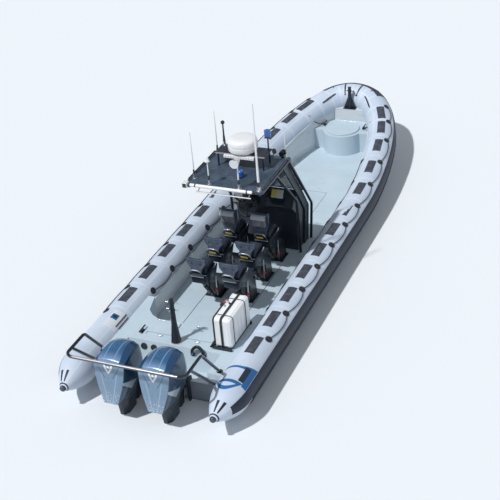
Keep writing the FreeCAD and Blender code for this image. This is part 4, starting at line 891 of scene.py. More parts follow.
for y in (-0.655, 0.655):
    line = [(x, y, ROOF_RAIL_Z) for x in (-1.62, -1.55, -0.60, -0.53)]
    line = [(-1.62, y, ROOF_Z)] + line + [(-0.53, y, ROOF_Z)]
    rod(bm, spline_line(line, 0.02), 0.012, 10, (0, 1, 0))
    for x in (-1.3, -0.92):
        rod(bm, [(x, y, ROOF_Z - 0.002), (x, y, ROOF_RAIL_Z)], 0.009, 8, (1, 0, 0))
piece("roof_hand_rails", bm, black_gloss, slot="black_paint")
white = Finish("white_plastic")
yellowing = white.noise(4.0, 4.0)
grime = white.noise(24.0, 6.0, 0.7)
white_tone = white.mix(yellowing, (0.76, 0.775, 0.785), (0.80, 0.81, 0.815))
white_tone = white.mix(grime.over(0.6, 0.78) * 0.5, white_tone, (0.50, 0.51, 0.52))
white_gloss = white.coat(base_color=white_tone, roughness=0.28 + grime * 0.15, coat_weight=0.2,
                         normal=white.bump(yellowing, 0.0008))
bm = bmesh.new()
rod(bm, [(-1.735, -0.48, 2.0), (-1.735, 0.48, 2.0)], 0.012, 12, (1, 0, 0))
for y in (-0.44, 0.44):
    rod(bm, [(-1.735, y, 2.0), (-1.66, y, 2.045)], 0.008, 8, (0, 1, 0))
piece("roof_lower_bar", bm, white_gloss, slot="white_plastic")

# Radome: a white drum with a rounded crown, moulded in two halves with a groove between them and bolted
# to the shelf.
SHELF_TOP_Z = 2.36


def turned(profile, steps, at, filled=False):
    """A shape turned round an upright axis from radii and heights."""
    made = bmesh.new()
    chain = [made.verts.new(p) for p in profile]
    edges = [made.edges.new((a, b)) for a, b in zip(chain, chain[1:])]
    bmesh.ops.spin(made, geom=chain + edges, cent=(0, 0, 0), axis=(0, 0, 1), angle=2 * math.pi, steps=steps,
                   use_merge=True)
    bmesh.ops.remove_doubles(made, verts=made.verts, dist=1e-5)
    if filled:
        bmesh.ops.holes_fill(made, edges=made.edges[:], sides=0)
    bmesh.ops.recalc_face_normals(made, faces=made.faces)
    return moved(made, at)


DRUM = ((0.0, 0.0), (0.19, 0.0), (0.215, 0.004), (0.244, 0.03), (0.250, 0.07), (0.250, 0.112),
        (0.2485, 0.118), (0.244, 0.120), (0.244, 0.124), (0.2485, 0.126), (0.250, 0.132), (0.250, 0.165),
        (0.240, 0.215), (0.19, 0.242), (0.10, 0.250), (0.0, 0.250))
bm = turned(spline_line([(r, 0, z) for r, z in DRUM]), 56, (-0.82, 0.0, SHELF_TOP_Z))
piece("radome_drum", bm, white_gloss, slot="white_plastic", replaces=["radome"], smooth=40.0)

# Lamps: a white light tube with black end clamps along the roof's aft edge, and a white work light bar with
# a row of square lenses under the shelf.
lamp = Finish("lamp_lens")
cells = abs(lamp.axes()[1].waves(math.pi / 0.045)).over(0.1, 0.3)
dress(lamp.coat(base_color=lamp.mix(cells, (0.42, 0.45, 0.48), (0.78, 0.80, 0.80)), roughness=0.18,
                coat_weight=0.5), "work_lamp")
dress(white_gloss, "light_bar")
bm = bmesh.new()
for y in (-0.553, -0.45, 0.45, 0.553):
    rod(bm, [(-1.79, y - 0.012, 2.14), (-1.79, y + 0.012, 2.14)], 0.0285, 20, (1, 0, 0))
piece("light_tube_clamps", bm, vent_black, slot="engine_black")

# Sensors and beacons: white mouldings with dark lenses, and ribbed blue domes on black bases. They are
# screwed to the roof, the shelf and the frames.
sensor = Finish("sensor_plastic")
sx, sy, sz = sensor.axes()
lens = sx.over(-0.378, -0.376) + sx.under(-1.850, -1.848) * sy.over(0.585, 0.59) * sy.under(0.65, 0.655)
mouth = sx.under(-1.779, -1.777) * sy.under(0.0, 0.1)
horn_side = sx.over(-0.54, -0.53) * sy.under(-0.3, -0.2) * sx.under(-0.40, -0.395)
sensor_tone = sensor.mix(sensor.noise(30.0, 5.0).over(0.5, 0.8), (0.72, 0.73, 0.73), (0.55, 0.57, 0.58))
sensor_tone = sensor.mix(lens.maths("MINIMUM", 1.0), sensor_tone, (0.02, 0.025, 0.03))
sensor_tone = sensor.mix(mouth, sensor_tone, (0.60, 0.64, 0.68))
sensor_tone = sensor.mix(sz.over(2.66, 2.68), sensor_tone, (0.012, 0.016, 0.024))
sensor_tone = sensor.mix(horn_side, sensor_tone, (0.02, 0.028, 0.045))
dress(sensor.coat(base_color=sensor_tone, roughness=0.25), "roof_sensors")
blue = Finish("beacon_lens")
blue_x, _, blue_z = blue.axes()
lenses = blue_z.over(2.130, 2.134) * blue_z.under(2.30, 2.35) + blue_z.over(2.612, 2.616)
swirl = blue_x.waves(520.0) * 0.5 + 0.5
lens_tone = blue.mix(swirl, (0.010, 0.075, 0.34), (0.03, 0.16, 0.52))
lens_tone = blue.mix(lenses.maths("MINIMUM", 1.0), (0.012, 0.014, 0.018), lens_tone)
dress(blue.coat(base_color=lens_tone, roughness=0.14, coat_weight=0.5, normal=blue.bump(swirl, 0.0012)),
      "beacons")

# Antennas: white whips and poles, one with a black lower pole. Each stands in a turned stainless ferrule with
# a rubber boot, screwed to the roof or the shelf.
FERRULE = ((0.026, 0.0), (0.026, 0.007), (0.010, 0.012), (0.007, 0.055), (0.010, 0.058), (0.010, 0.075),
           (0.001, 0.078))  # beyond the pole's radius, height
ANTENNAS = ((-1.5, 0.6, ROOF_Z, 0.014), (-0.56, 0.6, ROOF_Z, 0.014), (-1.655, -0.6, ROOF_Z, 0.022),
            (-0.45, -0.59, ROOF_Z, 0.009), (-1.64, 0.27, ROOF_Z, 0.012), (-1.66, -0.26, ROOF_Z, 0.014),
            (-0.70, 0.39, SHELF_TOP_Z, 0.018))  # place and radius
whip = Finish("whip_paint")
ax, ay, az = whip.axes()
dark_pole = ay.band(0.39, 0.06, 0.002) * ax.band(-0.70, 0.10, 0.002) * az.over(2.455, 2.460)
whip_tone = whip.mix(whip.noise(24.0, 5.0), (0.70, 0.72, 0.74), (0.78, 0.79, 0.80))
whip_tone = whip.mix(dark_pole, whip_tone, (0.010, 0.014, 0.022))
dress(whip.coat(base_color=whip_tone, roughness=0.3, coat_weight=0.2), "antennas")
feet, boots = bmesh.new(), bmesh.new()
for x, y, z, r in ANTENNAS:
    join(feet, turned([(0, 0, 0)] + [(r + more, 0, up) for more, up in FERRULE], 20, (x, y, z), True))
    join(boots, swept(frames_along([(x, y, z + 0.078), (x, y, z + 0.16)], (1, 0, 0)), circle(r + 0.003, 14),
                      [1.0, (r + 0.0005) / (r + 0.003)]))
piece("antenna_feet", feet, bright_steel, slot="stainless", smooth=30.0)
piece("antenna_boots", boots, vent_black, slot="black_rubber")


# Jockey seats: dark moulded pods and grey winged back shells on black sprung pedestals. Each has a vinyl
# saddle and back pad over foam, a bracket plate behind the hoop and a bright lever with a red ball.
SEAT_Y = 0.285
SEAT_FRONTS = (-0.94, -1.61, -2.30)
HOOP_SET = 0.044           # the pod's rear stands this far aft of the seat's front datum
HELM_BACK_H, CREW_BACK_H = 0.43, 0.23
NECK_Z = 0.9003
POD_Z0, POD_Z1 = 0.6203, 0.818
BRACKET_RAKE = 0.605
vinyl = Finish("seat_vinyl")
crease = vinyl.noise(7.0, 6.0, 0.6)
vinyl_grey = vinyl.coat(
    base_color=vinyl.mix(crease.over(0.4, 0.75), (0.016, 0.026, 0.044), (0.042, 0.056, 0.082)),
    roughness=0.46 + crease * 0.15, normal=vinyl.bump(vinyl.cells(240.0) * 0.0006 + crease * 0.004, 1.0))


def filled_out(bm, cap):
    """A pad's cover, remeshed evenly and filled out by cloth pressure; no point moves more than the cap."""
    cover = placed("cover", as_mesh("cover", bm))
    remesh = cover.modifiers.new("remesh", "REMESH")
    remesh.mode = "VOXEL"
    remesh.voxel_size = 0.0085
    bpy.context.view_layer.update()
    even = bpy.data.meshes.new_from_object(cover.evaluated_get(bpy.context.evaluated_depsgraph_get()))
    cover.modifiers.clear()
    cover.data = even
    start = [v.co.copy() for v in even.vertices]
    fill = cover.modifiers.new("fill", "CLOTH")
    fill.settings.use_pressure = True
    fill.settings.uniform_pressure_force = 4.0
    fill.settings.effector_weights.gravity = 0.0
    fill.settings.quality = 4
    for step in range(1, 21):
        bpy.context.scene.frame_set(step)
    swollen = bpy.data.meshes.new_from_object(cover.evaluated_get(bpy.context.evaluated_depsgraph_get()))
    cover.modifiers.clear()
    for v, old, new in zip(even.vertices, start, swollen.vertices):
        move = new.co - old
        v.co = old + move * min(1.0, cap / max(move.length, 1e-9))
    bpy.context.scene.frame_set(1)
    made = bmesh.new()
    made.from_mesh(even)
    bpy.data.objects.remove(cover)
    for _ in range(2):
        bmesh.ops.smooth_vert(made, verts=made.verts, factor=0.5, use_axis_x=True, use_axis_y=True,
                              use_axis_z=True)
    return made


def soft_piece(name, mesh, at, skin, slot, node):
    """One of several padded pieces that share a mesh."""
    pad = bmesh.new()
    pad.from_mesh(mesh)
    piece(name, moved(pad, at), skin, slot=slot, replaces=[node], smooth=80.0)


def back_outline(height):
    """Winged outline of a seat back, from its neck up: width and height from the neck's middle."""
    half = [(0.088, 0.0), (0.100, 0.06), (0.157, 0.58 * height), (0.165, height), (0.119, height - 0.016)]
    return half + [(-w, z) for w, z in reversed(half)]


def slab(corners, thick):
    """A flat shape with some thickness towards the bow."""
    made = bmesh.new()
    lifted(made, [made.faces.new([made.verts.new(corner) for corner in corners])], (thick, 0, 0), True)
    bmesh.ops.recalc_face_normals(made, faces=made.faces)
    return made


def sewn(place, lines, depth):
    """How deep stitched channels draw the cover in at a place."""
    return sum(depth * math.exp(-((place - line) / 0.008) ** 2) for line in lines)


# Saddle pad, about its own middle, with two sewn cross channels.
bm = bmesh.new()
bmesh.ops.create_cube(bm, size=1.0)
moved(bm, Matrix.Diagonal((0.405, 0.285, 0.070, 1)))
for v in bm.verts:
    if v.co.x > 0:
        v.co.y *= 0.78
        v.co.z += 0.006
saddle = filled_out(rounded(bm, 0.022, 3), 0.016)
for v in saddle.verts:
    if v.co.z > 0.0:
        v.co.z -= sewn(v.co.x, (-0.075, 0.065), 0.006)
    v.co.z = max(v.co.z, -0.042)
saddle_mesh = as_mesh("saddle", saddle)
back_meshes = {}
for height in (HELM_BACK_H, CREW_BACK_H):
    cover = slab([(0.0, w * 0.93, 0.012 + z * 0.955) for w, z in back_outline(height)], 0.040)
    pad = filled_out(rounded(cover, 0.010, 2), 0.012)
    for v in pad.verts:
        v.co.x = max(v.co.x, -0.004)
        if v.co.x > 0.01:
            v.co.x -= sewn(v.co.z, (0.34 * height, 0.68 * height), 0.005)
    back_meshes[height] = as_mesh("back_pad", pad)

pods, shells, brackets, pale_edges, plates, hardware, chrome, hole_shade_discs, knobs = (bmesh.new() for _ in range(9))
for row, front in enumerate(SEAT_FRONTS, 1):
    rear = front - HOOP_SET
    height = HELM_BACK_H if row == 1 else CREW_BACK_H
    for side, sign in SIDES:
        y = sign * SEAT_Y
        soft_piece(f"saddle_{side}_{row}", saddle_mesh, (rear + 0.222, y, 0.858), vinyl_grey, "seat_vinyl",
                   "seat_cushions")
        soft_piece(f"back_pad_{side}_{row}", back_meshes[height], (front - 0.052, y, NECK_Z), vinyl_grey,
                   "seat_vinyl", "seat_backrests")
        # Pod: a moulded body, waisted below the pad, with a raised rear panel.
        pod = plate(rear, rear + 0.44, y - 0.16, y + 0.16, POD_Z0, POD_Z1, 0.024, 3)
        for v in pod.verts:
            sink = (POD_Z1 - v.co.z) / 0.2
            v.co.y = y + (v.co.y - y) * (1 - 0.16 * sink)
            v.co.x += 0.03 * sink if v.co.x < rear + 0.2 else -0.05 * sink
        join(pods, pod)
        join(pods, plate(rear - 0.006, rear + 0.03, y - 0.115, y + 0.115, 0.655, 0.80, 0.006))
        # Back shell behind the pad, with a raised rim, and black discs on it that stand for its bolt holes:
        # painted shade.
        back = slab([(front - 0.088, y + w, NECK_Z + z) for w, z in back_outline(height)], 0.036)
        rear_face = min(back.faces, key=lambda f: f.calc_center_median().x)
        bmesh.ops.inset_region(back, faces=[rear_face], thickness=0.014)
        bmesh.ops.translate(back, verts=rear_face.verts, vec=(0.007, 0, 0))
        join(shells, rounded(back, 0.004, 2))
        hole_places = ((0.075, 0.80), (0.062, 0.36)) if row == 1 else ((0.075, 0.62),)
        for out_y, share in hole_places:
            for dy in (-out_y, out_y):
                spot = Matrix.Translation((front - 0.0825, y + dy, NECK_Z + share * height))
                stub(hole_shade_discs, 18, 0.019, 0.017, 0.006, spot @ Matrix.Rotation(-math.pi / 2, 4, "Y"))
        # Bracket plate leaning with the hoop, pale along its lower edge; two rows have a yellow plate.
        panels = [(brackets, plate(-0.006, 0.006, y - 0.112, y + 0.112, 0.800, 0.900), 0.022),
                  (pale_edges, plate(-0.006, 0.006, y - 0.116, y + 0.116, 0.790, 0.801), 0.025)]
        if row < 3:
            panels.append((plates, plate(-0.003, 0.003, y - 0.060, y + 0.060, 0.862, 0.908, 0.001, 1), 0.032))
        for bed, panel, aft in panels:
            for v in panel.verts:
                v.co.x += rear - aft - (v.co.z - 0.78) * BRACKET_RAKE
            join(bed, panel)
        # Tracks up the pedestal's rear side, with a sprung damper between them under the pod.
        for dy in (-0.082, 0.082):
            track = [(rear + x, y + dy, z) for x, z in ((0.486, 0.125), (0.470, 0.425), (0.150, 0.608))]
            join(hardware, swept(frames_along(track, (0, 1, 0)),
                                 [(-0.014, -0.012), (0.014, -0.012), (0.014, 0.012), (-0.014, 0.012)]))
        foot, head = Vector((rear + 0.440, y, 0.170)), Vector((rear + 0.150, y, 0.560))
        rod(hardware, [foot, head], 0.024, 16, (0, 1, 0))
        for i in range(7):
            coil = [foot.lerp(head, share + 0.09 * i) for share in (0.22, 0.25)]
            rod(hardware, coil, 0.036, 18, (0, 1, 0))
        # Lever: a bright rod from the pod's underside down to a red ball, and a small catch beside the pad.
        end = (rear + 0.352, y - 0.130, 0.352)
        rod(chrome, [(rear + 0.366, y - 0.130, 0.600), end], 0.010, 12, (0, 1, 0))
        rod(chrome, [(rear + 0.290, y - 0.150, 0.812), (rear + 0.305, y - 0.172, 0.850),
                     (rear + 0.330, y - 0.172, 0.870)], 0.008, 10, (1, 0, 0))
        ball(knobs, 18, 12, 0.030, end)
shell_grey = worn("seat_shell", (12.0, 6.0, 0.7), (0.4, 0.72), (0.058, 0.078, 0.118), (0.112, 0.138, 0.185),
                  0.5, relief=(0.0006, 60.0, 4.0))
pod_navy = worn("pod_paint", (16.0, 6.0, 0.65), (0.45, 0.75), (0.003, 0.008, 0.018), (0.010, 0.022, 0.042),
                0.34, 0.15, coat_weight=0.2)
plate_yellow = worn("yellow_plate", (50.0, 4.0), (0.5, 0.8), (0.95, 0.69, 0.02), (0.74, 0.52, 0.03), 0.4)
alloy_grey = worn("seat_alloy", (40.0, 5.0), (0.45, 0.7), (0.05, 0.055, 0.065), (0.30, 0.31, 0.33), 0.32,
                  metallic=0.8)
knob_red = worn("red_knob", (60.0, 3.0), None, (0.55, 0.05, 0.04), (0.42, 0.03, 0.03), 0.3)
hoop_grey = worn("hoop_paint", (30.0, 6.0, 0.7), (0.42, 0.68), (0.24, 0.28, 0.34), (0.50, 0.54, 0.58), 0.28,
                 metallic=0.4)
dress(hoop_grey, "seat_grab_rails")
piece("seat_pods", pods, pod_navy, slot="seat_vinyl", replaces=["seat_cushions"], smooth=45.0)
piece("seat_back_shells", shells, shell_grey, slot="seat_vinyl", replaces=["seat_backrests"], smooth=35.0)
SEAT_PARTS = (  # name, mesh, finish, slot, smooth up to
    ("seat_plates", plates, plate_yellow, "white_plastic", 30.0),
    ("seat_back_hole_shade", hole_shade_discs, vent_black, "engine_black", 30.0),
    ("seat_brackets", brackets, pod_navy, "black_paint", 30.0),
    ("seat_bracket_edges", pale_edges, white_gloss, "white_plastic", 30.0),
    ("seat_springs_and_tracks", hardware, alloy_grey, "stainless", 35.0),
    ("seat_levers", chrome, bright_steel, "stainless", 35.0),
    ("lever_balls", knobs, knob_red, "stainless", 38.0),
)
for name, bm, skin, slot, smooth in SEAT_PARTS:
    piece(name, bm, skin, slot=slot, smooth=smooth)

# Bags on the helm seats' backs: soft grey cloth, filled out by what is in it and hung behind the back
# shells, with a flap of pale banding over the top.
BAG_AT = (-1.0690, 1.190)
FLAP_HALF = 0.128
FLAP = [(-1.034, 1.300), (-1.060, 1.306), (-1.092, 1.300), (-1.109, 1.280), (-1.114, 1.255), (-1.115, 1.238)]
cloth = Finish("bag_cloth")
threads = cloth.axes()[1].waves(2600.0) * cloth.axes()[2].waves(2600.0)
crumple = cloth.noise(9.0, 6.0, 0.6)
bag_tone = cloth.mix(crumple.over(0.35, 0.7), (0.13, 0.135, 0.155), (0.24, 0.24, 0.265))
bag_grey = cloth.coat(base_color=bag_tone, roughness=0.85, specular=0.15,
                      normal=cloth.bump(crumple * 0.012 + threads * 0.0002, 1.0))
band_pale = worn("bag_band", (60.0, 3.0), None, (0.34, 0.38, 0.44), (0.46, 0.50, 0.56), 0.8)
bag = filled_out(plate(-0.030, 0.030, -0.125, 0.125, -0.102, 0.100, 0.020, 3), 0.020)
for v in bag.verts:
    sag = (0.1 - v.co.z) / 0.2
    if v.co.x < 0:
        v.co.x *= 0.82 + 0.30 * sag
    v.co.y *= 0.97 + 0.05 * sag
    v.co.x = min(v.co.x, 0.034)
bag_mesh = as_mesh("bag", bag)


def vertices(grown):
    """The vertices that an extrusion made."""
    return [g for g in grown["geom"] if isinstance(g, bmesh.types.BMVert)]


flaps = bmesh.new()
for side, sign in SIDES:
    y = sign * SEAT_Y
    soft_piece(f"bag_{side}", bag_mesh, (BAG_AT[0], y, BAG_AT[1]), bag_grey, "bag_cloth", "seat_bags")
    flap = bmesh.new()
    chain = [flap.verts.new((x, y - FLAP_HALF, z)) for x, z in FLAP]
    edges = [flap.edges.new((a, b)) for a, b in zip(chain, chain[1:])]
    bmesh.ops.translate(flap, verts=vertices(bmesh.ops.extrude_edge_only(flap, edges=edges)),
                        vec=(0, 2 * FLAP_HALF, 0))
    across = [e for e in flap.edges if abs(e.verts[0].co.y - e.verts[1].co.y) > 0.1]
    bmesh.ops.subdivide_edges(flap, edges=across, cuts=9, use_grid_fill=True)
    for v in flap.verts:
        v.co.x -= 0.004 * (1 - ((v.co.y - y) / FLAP_HALF) ** 2)
    bmesh.ops.recalc_face_normals(flap, faces=flap.faces)
    bmesh.ops.solidify(flap, geom=flap.faces[:], thickness=0.003)
    join(flaps, flap)
piece("bag_flaps", flaps, band_pale, slot="bag_cloth", smooth=50.0)


# Life raft canister: two white glass-fibre shells standing on edge in a black cradle. Two webbing straps
# run round it lengthwise, one of them over the shells' joint, and two lashings cross it.
RAFT_LOW, RAFT_HIGH = Vector((-3.800, -0.925, 0.572)), Vector((-3.050, -0.625, 1.092))
RAFT_JOINT_Y = -0.775
ROUND = 0.055
raft_centre = (RAFT_LOW + RAFT_HIGH) / 2
half = RAFT_HIGH - raft_centre
bm = plate(*[end[i] for i in range(3) for end in (RAFT_LOW, RAFT_HIGH)], 0.0)
for axis, cuts in ((0, 59), (1, 39), (2, 39)):
    whole = [e for e in bm.edges if abs(e.verts[0].co[axis] - e.verts[1].co[axis]) > 0.1]
    bmesh.ops.subdivide_edges(bm, edges=whole, cuts=cuts, use_grid_fill=True)
for v in bm.verts:
    local = v.co - raft_centre
    core = Vector([max(-h + ROUND, min(h - ROUND, c)) for h, c in zip(half, local)])
    reach = ROUND
    if abs(local.y) < half.y - 0.012:
        band = max(math.exp(-((abs(local.y) - 0.098) / 0.015) ** 6), math.exp(-(local.y / 0.011) ** 6))
        reach -= 0.007 * (1 - band)
    elif abs(local.x) < half.x - 0.07 and abs(local.z) < half.z - 0.05:
        reach -= 0.0035 * (1 - math.cos(2 * math.pi * local.x / 0.122))
    v.co = raft_centre + core + (local - core).normalized() * reach
bmesh.ops.recalc_face_normals(bm, faces=bm.faces)
raft = Finish("raft_gelcoat")
smear = raft.noise(28.0, 7.0, 0.72)
raft_tone = raft.mix(raft.noise(5.0, 5.0), (0.85, 0.875, 0.90), (0.89, 0.905, 0.915))
raft_tone = raft.mix(smear.over(0.6, 0.76) * 0.4, raft_tone, (0.54, 0.59, 0.64))
raft_tone = raft.mix(raft.axes()[1].band(RAFT_JOINT_Y, 0.004, 0.002), raft_tone, (0.16, 0.18, 0.21))
raft_white = raft.coat(base_color=raft_tone, roughness=0.34 + smear * 0.14, coat_weight=0.15)
piece("raft_shells", bm, raft_white, slot="white_plastic", replaces=["raft_canister"], smooth=55.0)


def round_the_box(axis, at, out, corner):
    """Closed line round the raft, square to one axis: out over its faces, with round corners."""
    a, c = [i for i in range(3) if i != axis]
    line = []
    for turn, (far_a, far_c) in enumerate(((1, 1), (-1, 1), (-1, -1), (1, -1))):
        middle = [RAFT_HIGH[i] + out - corner if far > 0 else RAFT_LOW[i] - out + corner
                  for i, far in ((a, far_a), (c, far_c))]
        for du, dv in polar([(corner, 90 * turn + 90 * i / 8) for i in range(9)]):
            point = [at, at, at]
            point[a], point[c] = middle[0] + du, middle[1] + dv
            line.append(point)
    return line + [line[0]]


bm = bmesh.new()
for y, width, out in ((RAFT_JOINT_Y, 0.019, 0.0015), (-0.652, 0.0165, -0.0075)):
    join(bm, swept(frames_along(round_the_box(1, y, out, ROUND), (0, 1, 0)),
                   [(-0.0025, -width), (0.0025, -width), (0.0025, width), (-0.0025, width)]))
for x in (-3.685, -3.230):
    rod(bm, round_the_box(0, x, 0.003, ROUND + 0.002), 0.0055, 10, (1, 0, 0))
webbing = Finish("raft_webbing")
webbing_tone = webbing.mix(webbing.noise(10.0, 4.0), (0.012, 0.014, 0.02), (0.04, 0.045, 0.055))
webbing_black = webbing.coat(base_color=webbing_tone, roughness=0.7,
                             normal=webbing.bump(webbing.axes()[1].waves(900.0), 0.0005))
piece("raft_straps", bm, webbing_black, slot="black_rubber", smooth=40.0)
# Release on the straps: three squat drums, a red cutter cap and three shackles.
bm = bmesh.new()
for x, y, z, radius, height in ((-3.42, -0.640, 1.096, 0.036, 0.034), (-3.26, -0.655, 1.098, 0.028, 0.026),
                                (-3.37, -0.742, 1.100, 0.018, 0.020)):
    drum = stub(bmesh.new(), 24, radius, radius * 0.82, height, Matrix())
    join(bm, moved(rounded(drum, 0.004, 2), (x, y, z)))
piece("raft_release_drums", bm, webbing_black, slot="black_rubber", smooth=40.0)
piece("raft_release_cap", plate(-3.395, -3.345, -0.672, -0.640, 1.090, 1.121, 0.008, 3), knob_red,
      slot="stainless")
bm = bmesh.new()
for x, y in ((-3.305, -0.668), (-3.330, -0.690), (-3.455, -0.690)):
    shackle = [(x + 0.022 * a, y + 0.016 * b, 1.104) for a, b in polar([(1.0, 24 * i) for i in range(16)])]
    rod(bm, shackle, 0.005, 10, (0, 0, 1))
piece("raft_shackles", bm, bright_steel, slot="stainless", smooth=60.0)

# Vent pipe: a rigid black-painted gooseneck, bent from one tube, that comes out of the splash well's forward
# wall, arches over the deck's edge and goes back in. A rubber grommet seals each hole.
PIPE = [(-3.912, -0.500, 0.462), (-3.950, -0.505, 0.490), (-3.957, -0.502, 0.580), (-3.960, -0.430, 0.648),
        (-3.966, -0.350, 0.590), (-3.966, -0.320, 0.500), (-3.913, -0.318, 0.455)]
bm = rod(bmesh.new(), spline_line(PIPE, 0.01), 0.026, 20, (1, 0, 0.3))
piece("well_vent_pipe", bm, rail_black, slot="black_paint", smooth=60.0)
bm = bmesh.new()
for x, y, z in (PIPE[0], PIPE[-1]):
    rod(bm, [(x - 0.020, y, z), (x, y, z)], 0.036, 18, (0, 0, 1))
piece("well_vent_grommets", bm, vent_black, slot="black_rubber", smooth=40.0)


# Outboard motors: a moulded cowl painted metallic blue, with a creased dome, a silver rear shield and dark
# flanks, latched down over a black leg. The stations run from the cowl's front to its back.
ENGINE_Y = 0.357
COWL = [  # x of crown, sill; height of sill, shoulder, crown; half width of sill, waist, shoulder, crease
    (-4.528, -4.543, 0.500, 0.885, 0.948, 0.118, 0.168, 0.140, 0.075),
    (-4.615, -4.618, 0.470, 1.010, 1.092, 0.185, 0.242, 0.202, 0.115),
    (-4.730, -4.730, 0.455, 1.052, 1.152, 0.200, 0.260, 0.228, 0.128),
    (-4.860, -4.860, 0.440, 1.072, 1.186, 0.210, 0.268, 0.243, 0.138),
    (-4.980, -5.000, 0.420, 1.066, 1.172, 0.198, 0.270, 0.252, 0.150),
    (-5.090, -5.140, 0.398, 1.048, 1.142, 0.172, 0.258, 0.257, 0.168),
    (-5.185, -5.270, 0.378, 1.012, 1.096, 0.122, 0.212, 0.252, 0.180),
]
COWL_CREASES = {2: 0.5, 5: 0.75, 6: 0.75, 7: 0.6}       # by the corner's number, counted up from the sill
COWL_SKINS = {1: 0, 2: 0, 7: 1, 8: 0}                   # finish of the strip below a corner; others are flank
FLANK = 2
REAR_BULGE = 0.022
metallic = Finish("cowl_paint")
flake = metallic.noise(900.0, 2.0)
mx, my, mz = metallic.axes()
road = metallic.noise(5.0, 5.0)
cowl_colour_and_sheen = metallic.mix(road.over(0.35, 0.7), (0.030, 0.120, 0.265), (0.048, 0.160, 0.325))
# Painted sheen: a paler zone over the rear of the dome's top.
cowl_colour_and_sheen = metallic.mix(mx.under(-5.19, -5.02) * mz.over(1.0, 1.05), cowl_colour_and_sheen, (0.19, 0.30, 0.47))
crest_line = abs(abs(my) - ENGINE_Y).band(0.078, 0.012, 0.004) * mz.over(1.0, 1.03) * mx.under(-4.78, -4.70)
cowl_colour_and_sheen = metallic.mix(crest_line * 0.75, cowl_colour_and_sheen, (0.26, 0.40, 0.58))
cowl_blue = metallic.coat(base_color=cowl_colour_and_sheen, metallic=0.3, roughness=0.24 + flake * 0.06, coat_weight=0.6,
                          normal=metallic.bump(flake, 0.00012))
facet_blue = worn("cowl_facet", (5.0, 4.0), None, (0.016, 0.070, 0.165), (0.026, 0.092, 0.205), 0.22,
                  metallic=0.3, coat_weight=0.6)
flank = Finish("cowl_flank")
fx, _, fz = flank.axes()
flank_tone = flank.mix(flank.noise(14.0, 5.0), (0.006, 0.038, 0.080), (0.012, 0.056, 0.112))
tab = (fz + fx * 0.93).over(-4.160, -4.154) * (fz + fx * 0.404).under(-1.364, -1.359)
tab = tab * (fx - fz * 1.238).under(-5.654, -5.648)
flank_tone = flank.mix(tab, flank_tone, (0.40, 0.47, 0.52))
flank_dark = flank.coat(base_color=flank_tone, metallic=0.2, roughness=0.28, coat_weight=0.4)
silver = Finish("cowl_silver")
_, shield_y, shield_z = silver.axes()
off_centre = abs(abs(shield_y) - ENGINE_Y)
drips = silver.noise(70.0, 4.0).over(0.53, 0.62) * shield_z.under(0.45, 0.66)
ridge = (off_centre - shield_z * 0.20).band(-0.046, 0.010, 0.004) * shield_z.under(0.84, 0.88)
groove_line = (off_centre - shield_z * 0.55).band(-0.378, 0.012, 0.004) * shield_z.over(0.79, 0.81)
silver_tone = silver.mix(silver.noise(20.0, 5.0), (0.135, 0.220, 0.320), (0.195, 0.290, 0.400))
silver_tone = silver.mix(drips, silver_tone, (0.55, 0.62, 0.68))
silver_tone = silver.mix(ridge * 0.6, silver_tone, (0.36, 0.47, 0.60))
silver_tone = silver.mix(groove_line * 0.7, silver_tone, (0.05, 0.10, 0.17))
silver_pale = silver.coat(base_color=silver_tone, metallic=0.25, roughness=0.28, coat_weight=0.4)
emblem = Finish("cowl_emblem")
_, crest_y, crest_z = emblem.axes()
crest_off = abs(abs(crest_y) - ENGINE_Y)
disc = crest_off * crest_off + (crest_z - 0.985) * (crest_z - 0.985)
emblem_tone = emblem.mix(emblem.noise(30.0, 3.0), (0.68, 0.71, 0.74), (0.76, 0.78, 0.80))
emblem_tone = emblem.mix((crest_z * 0.45 - crest_off).over(0.411, 0.416), emblem_tone, (0.13, 0.22, 0.33))
emblem_tone = emblem.mix(disc.under(0.00034, 0.00048), emblem_tone, (0.80, 0.82, 0.84))
emblem_white = emblem.coat(base_color=emblem_tone, roughness=0.22, coat_weight=0.4)


def cowl_half(x_top, x_sill, z_sill, z_shoulder, z_crown, w_sill, w_waist, w_shoulder, w_crease):
    """One side of a station, from the middle of the sill up to the crown."""
    waist = z_sill + 0.45 * (z_shoulder - z_sill)
    upper = z_shoulder - 0.10 * (z_shoulder - z_sill) / 0.55
    half = [(0.0, z_sill), (0.8 * w_sill, z_sill), (w_sill, z_sill + 0.025), (w_waist, waist),
            (w_waist + (w_shoulder - w_waist) * 0.72, upper), (w_shoulder, z_shoulder - 0.012),
            (w_shoulder - 0.010, z_shoulder + 0.014), (w_crease, z_shoulder + 0.74 * (z_crown - z_shoulder)),
            (0.0, z_crown)]
    return [(x_sill + (x_top - x_sill) * (z - z_sill) / (z_crown - z_sill), y, z) for y, z in half]


def rear_x(y, z):
    """The rear face: it leans forward at the top and is rounded from side to side."""
    x_top, x_sill, z_sill, _, z_crown = COWL[-1][:5]
    share = (z - z_sill) / (z_crown - z_sill)
    return x_sill + (x_top - x_sill) * share - REAR_BULGE * (1 - (abs(y) / 0.25) ** 2.4)


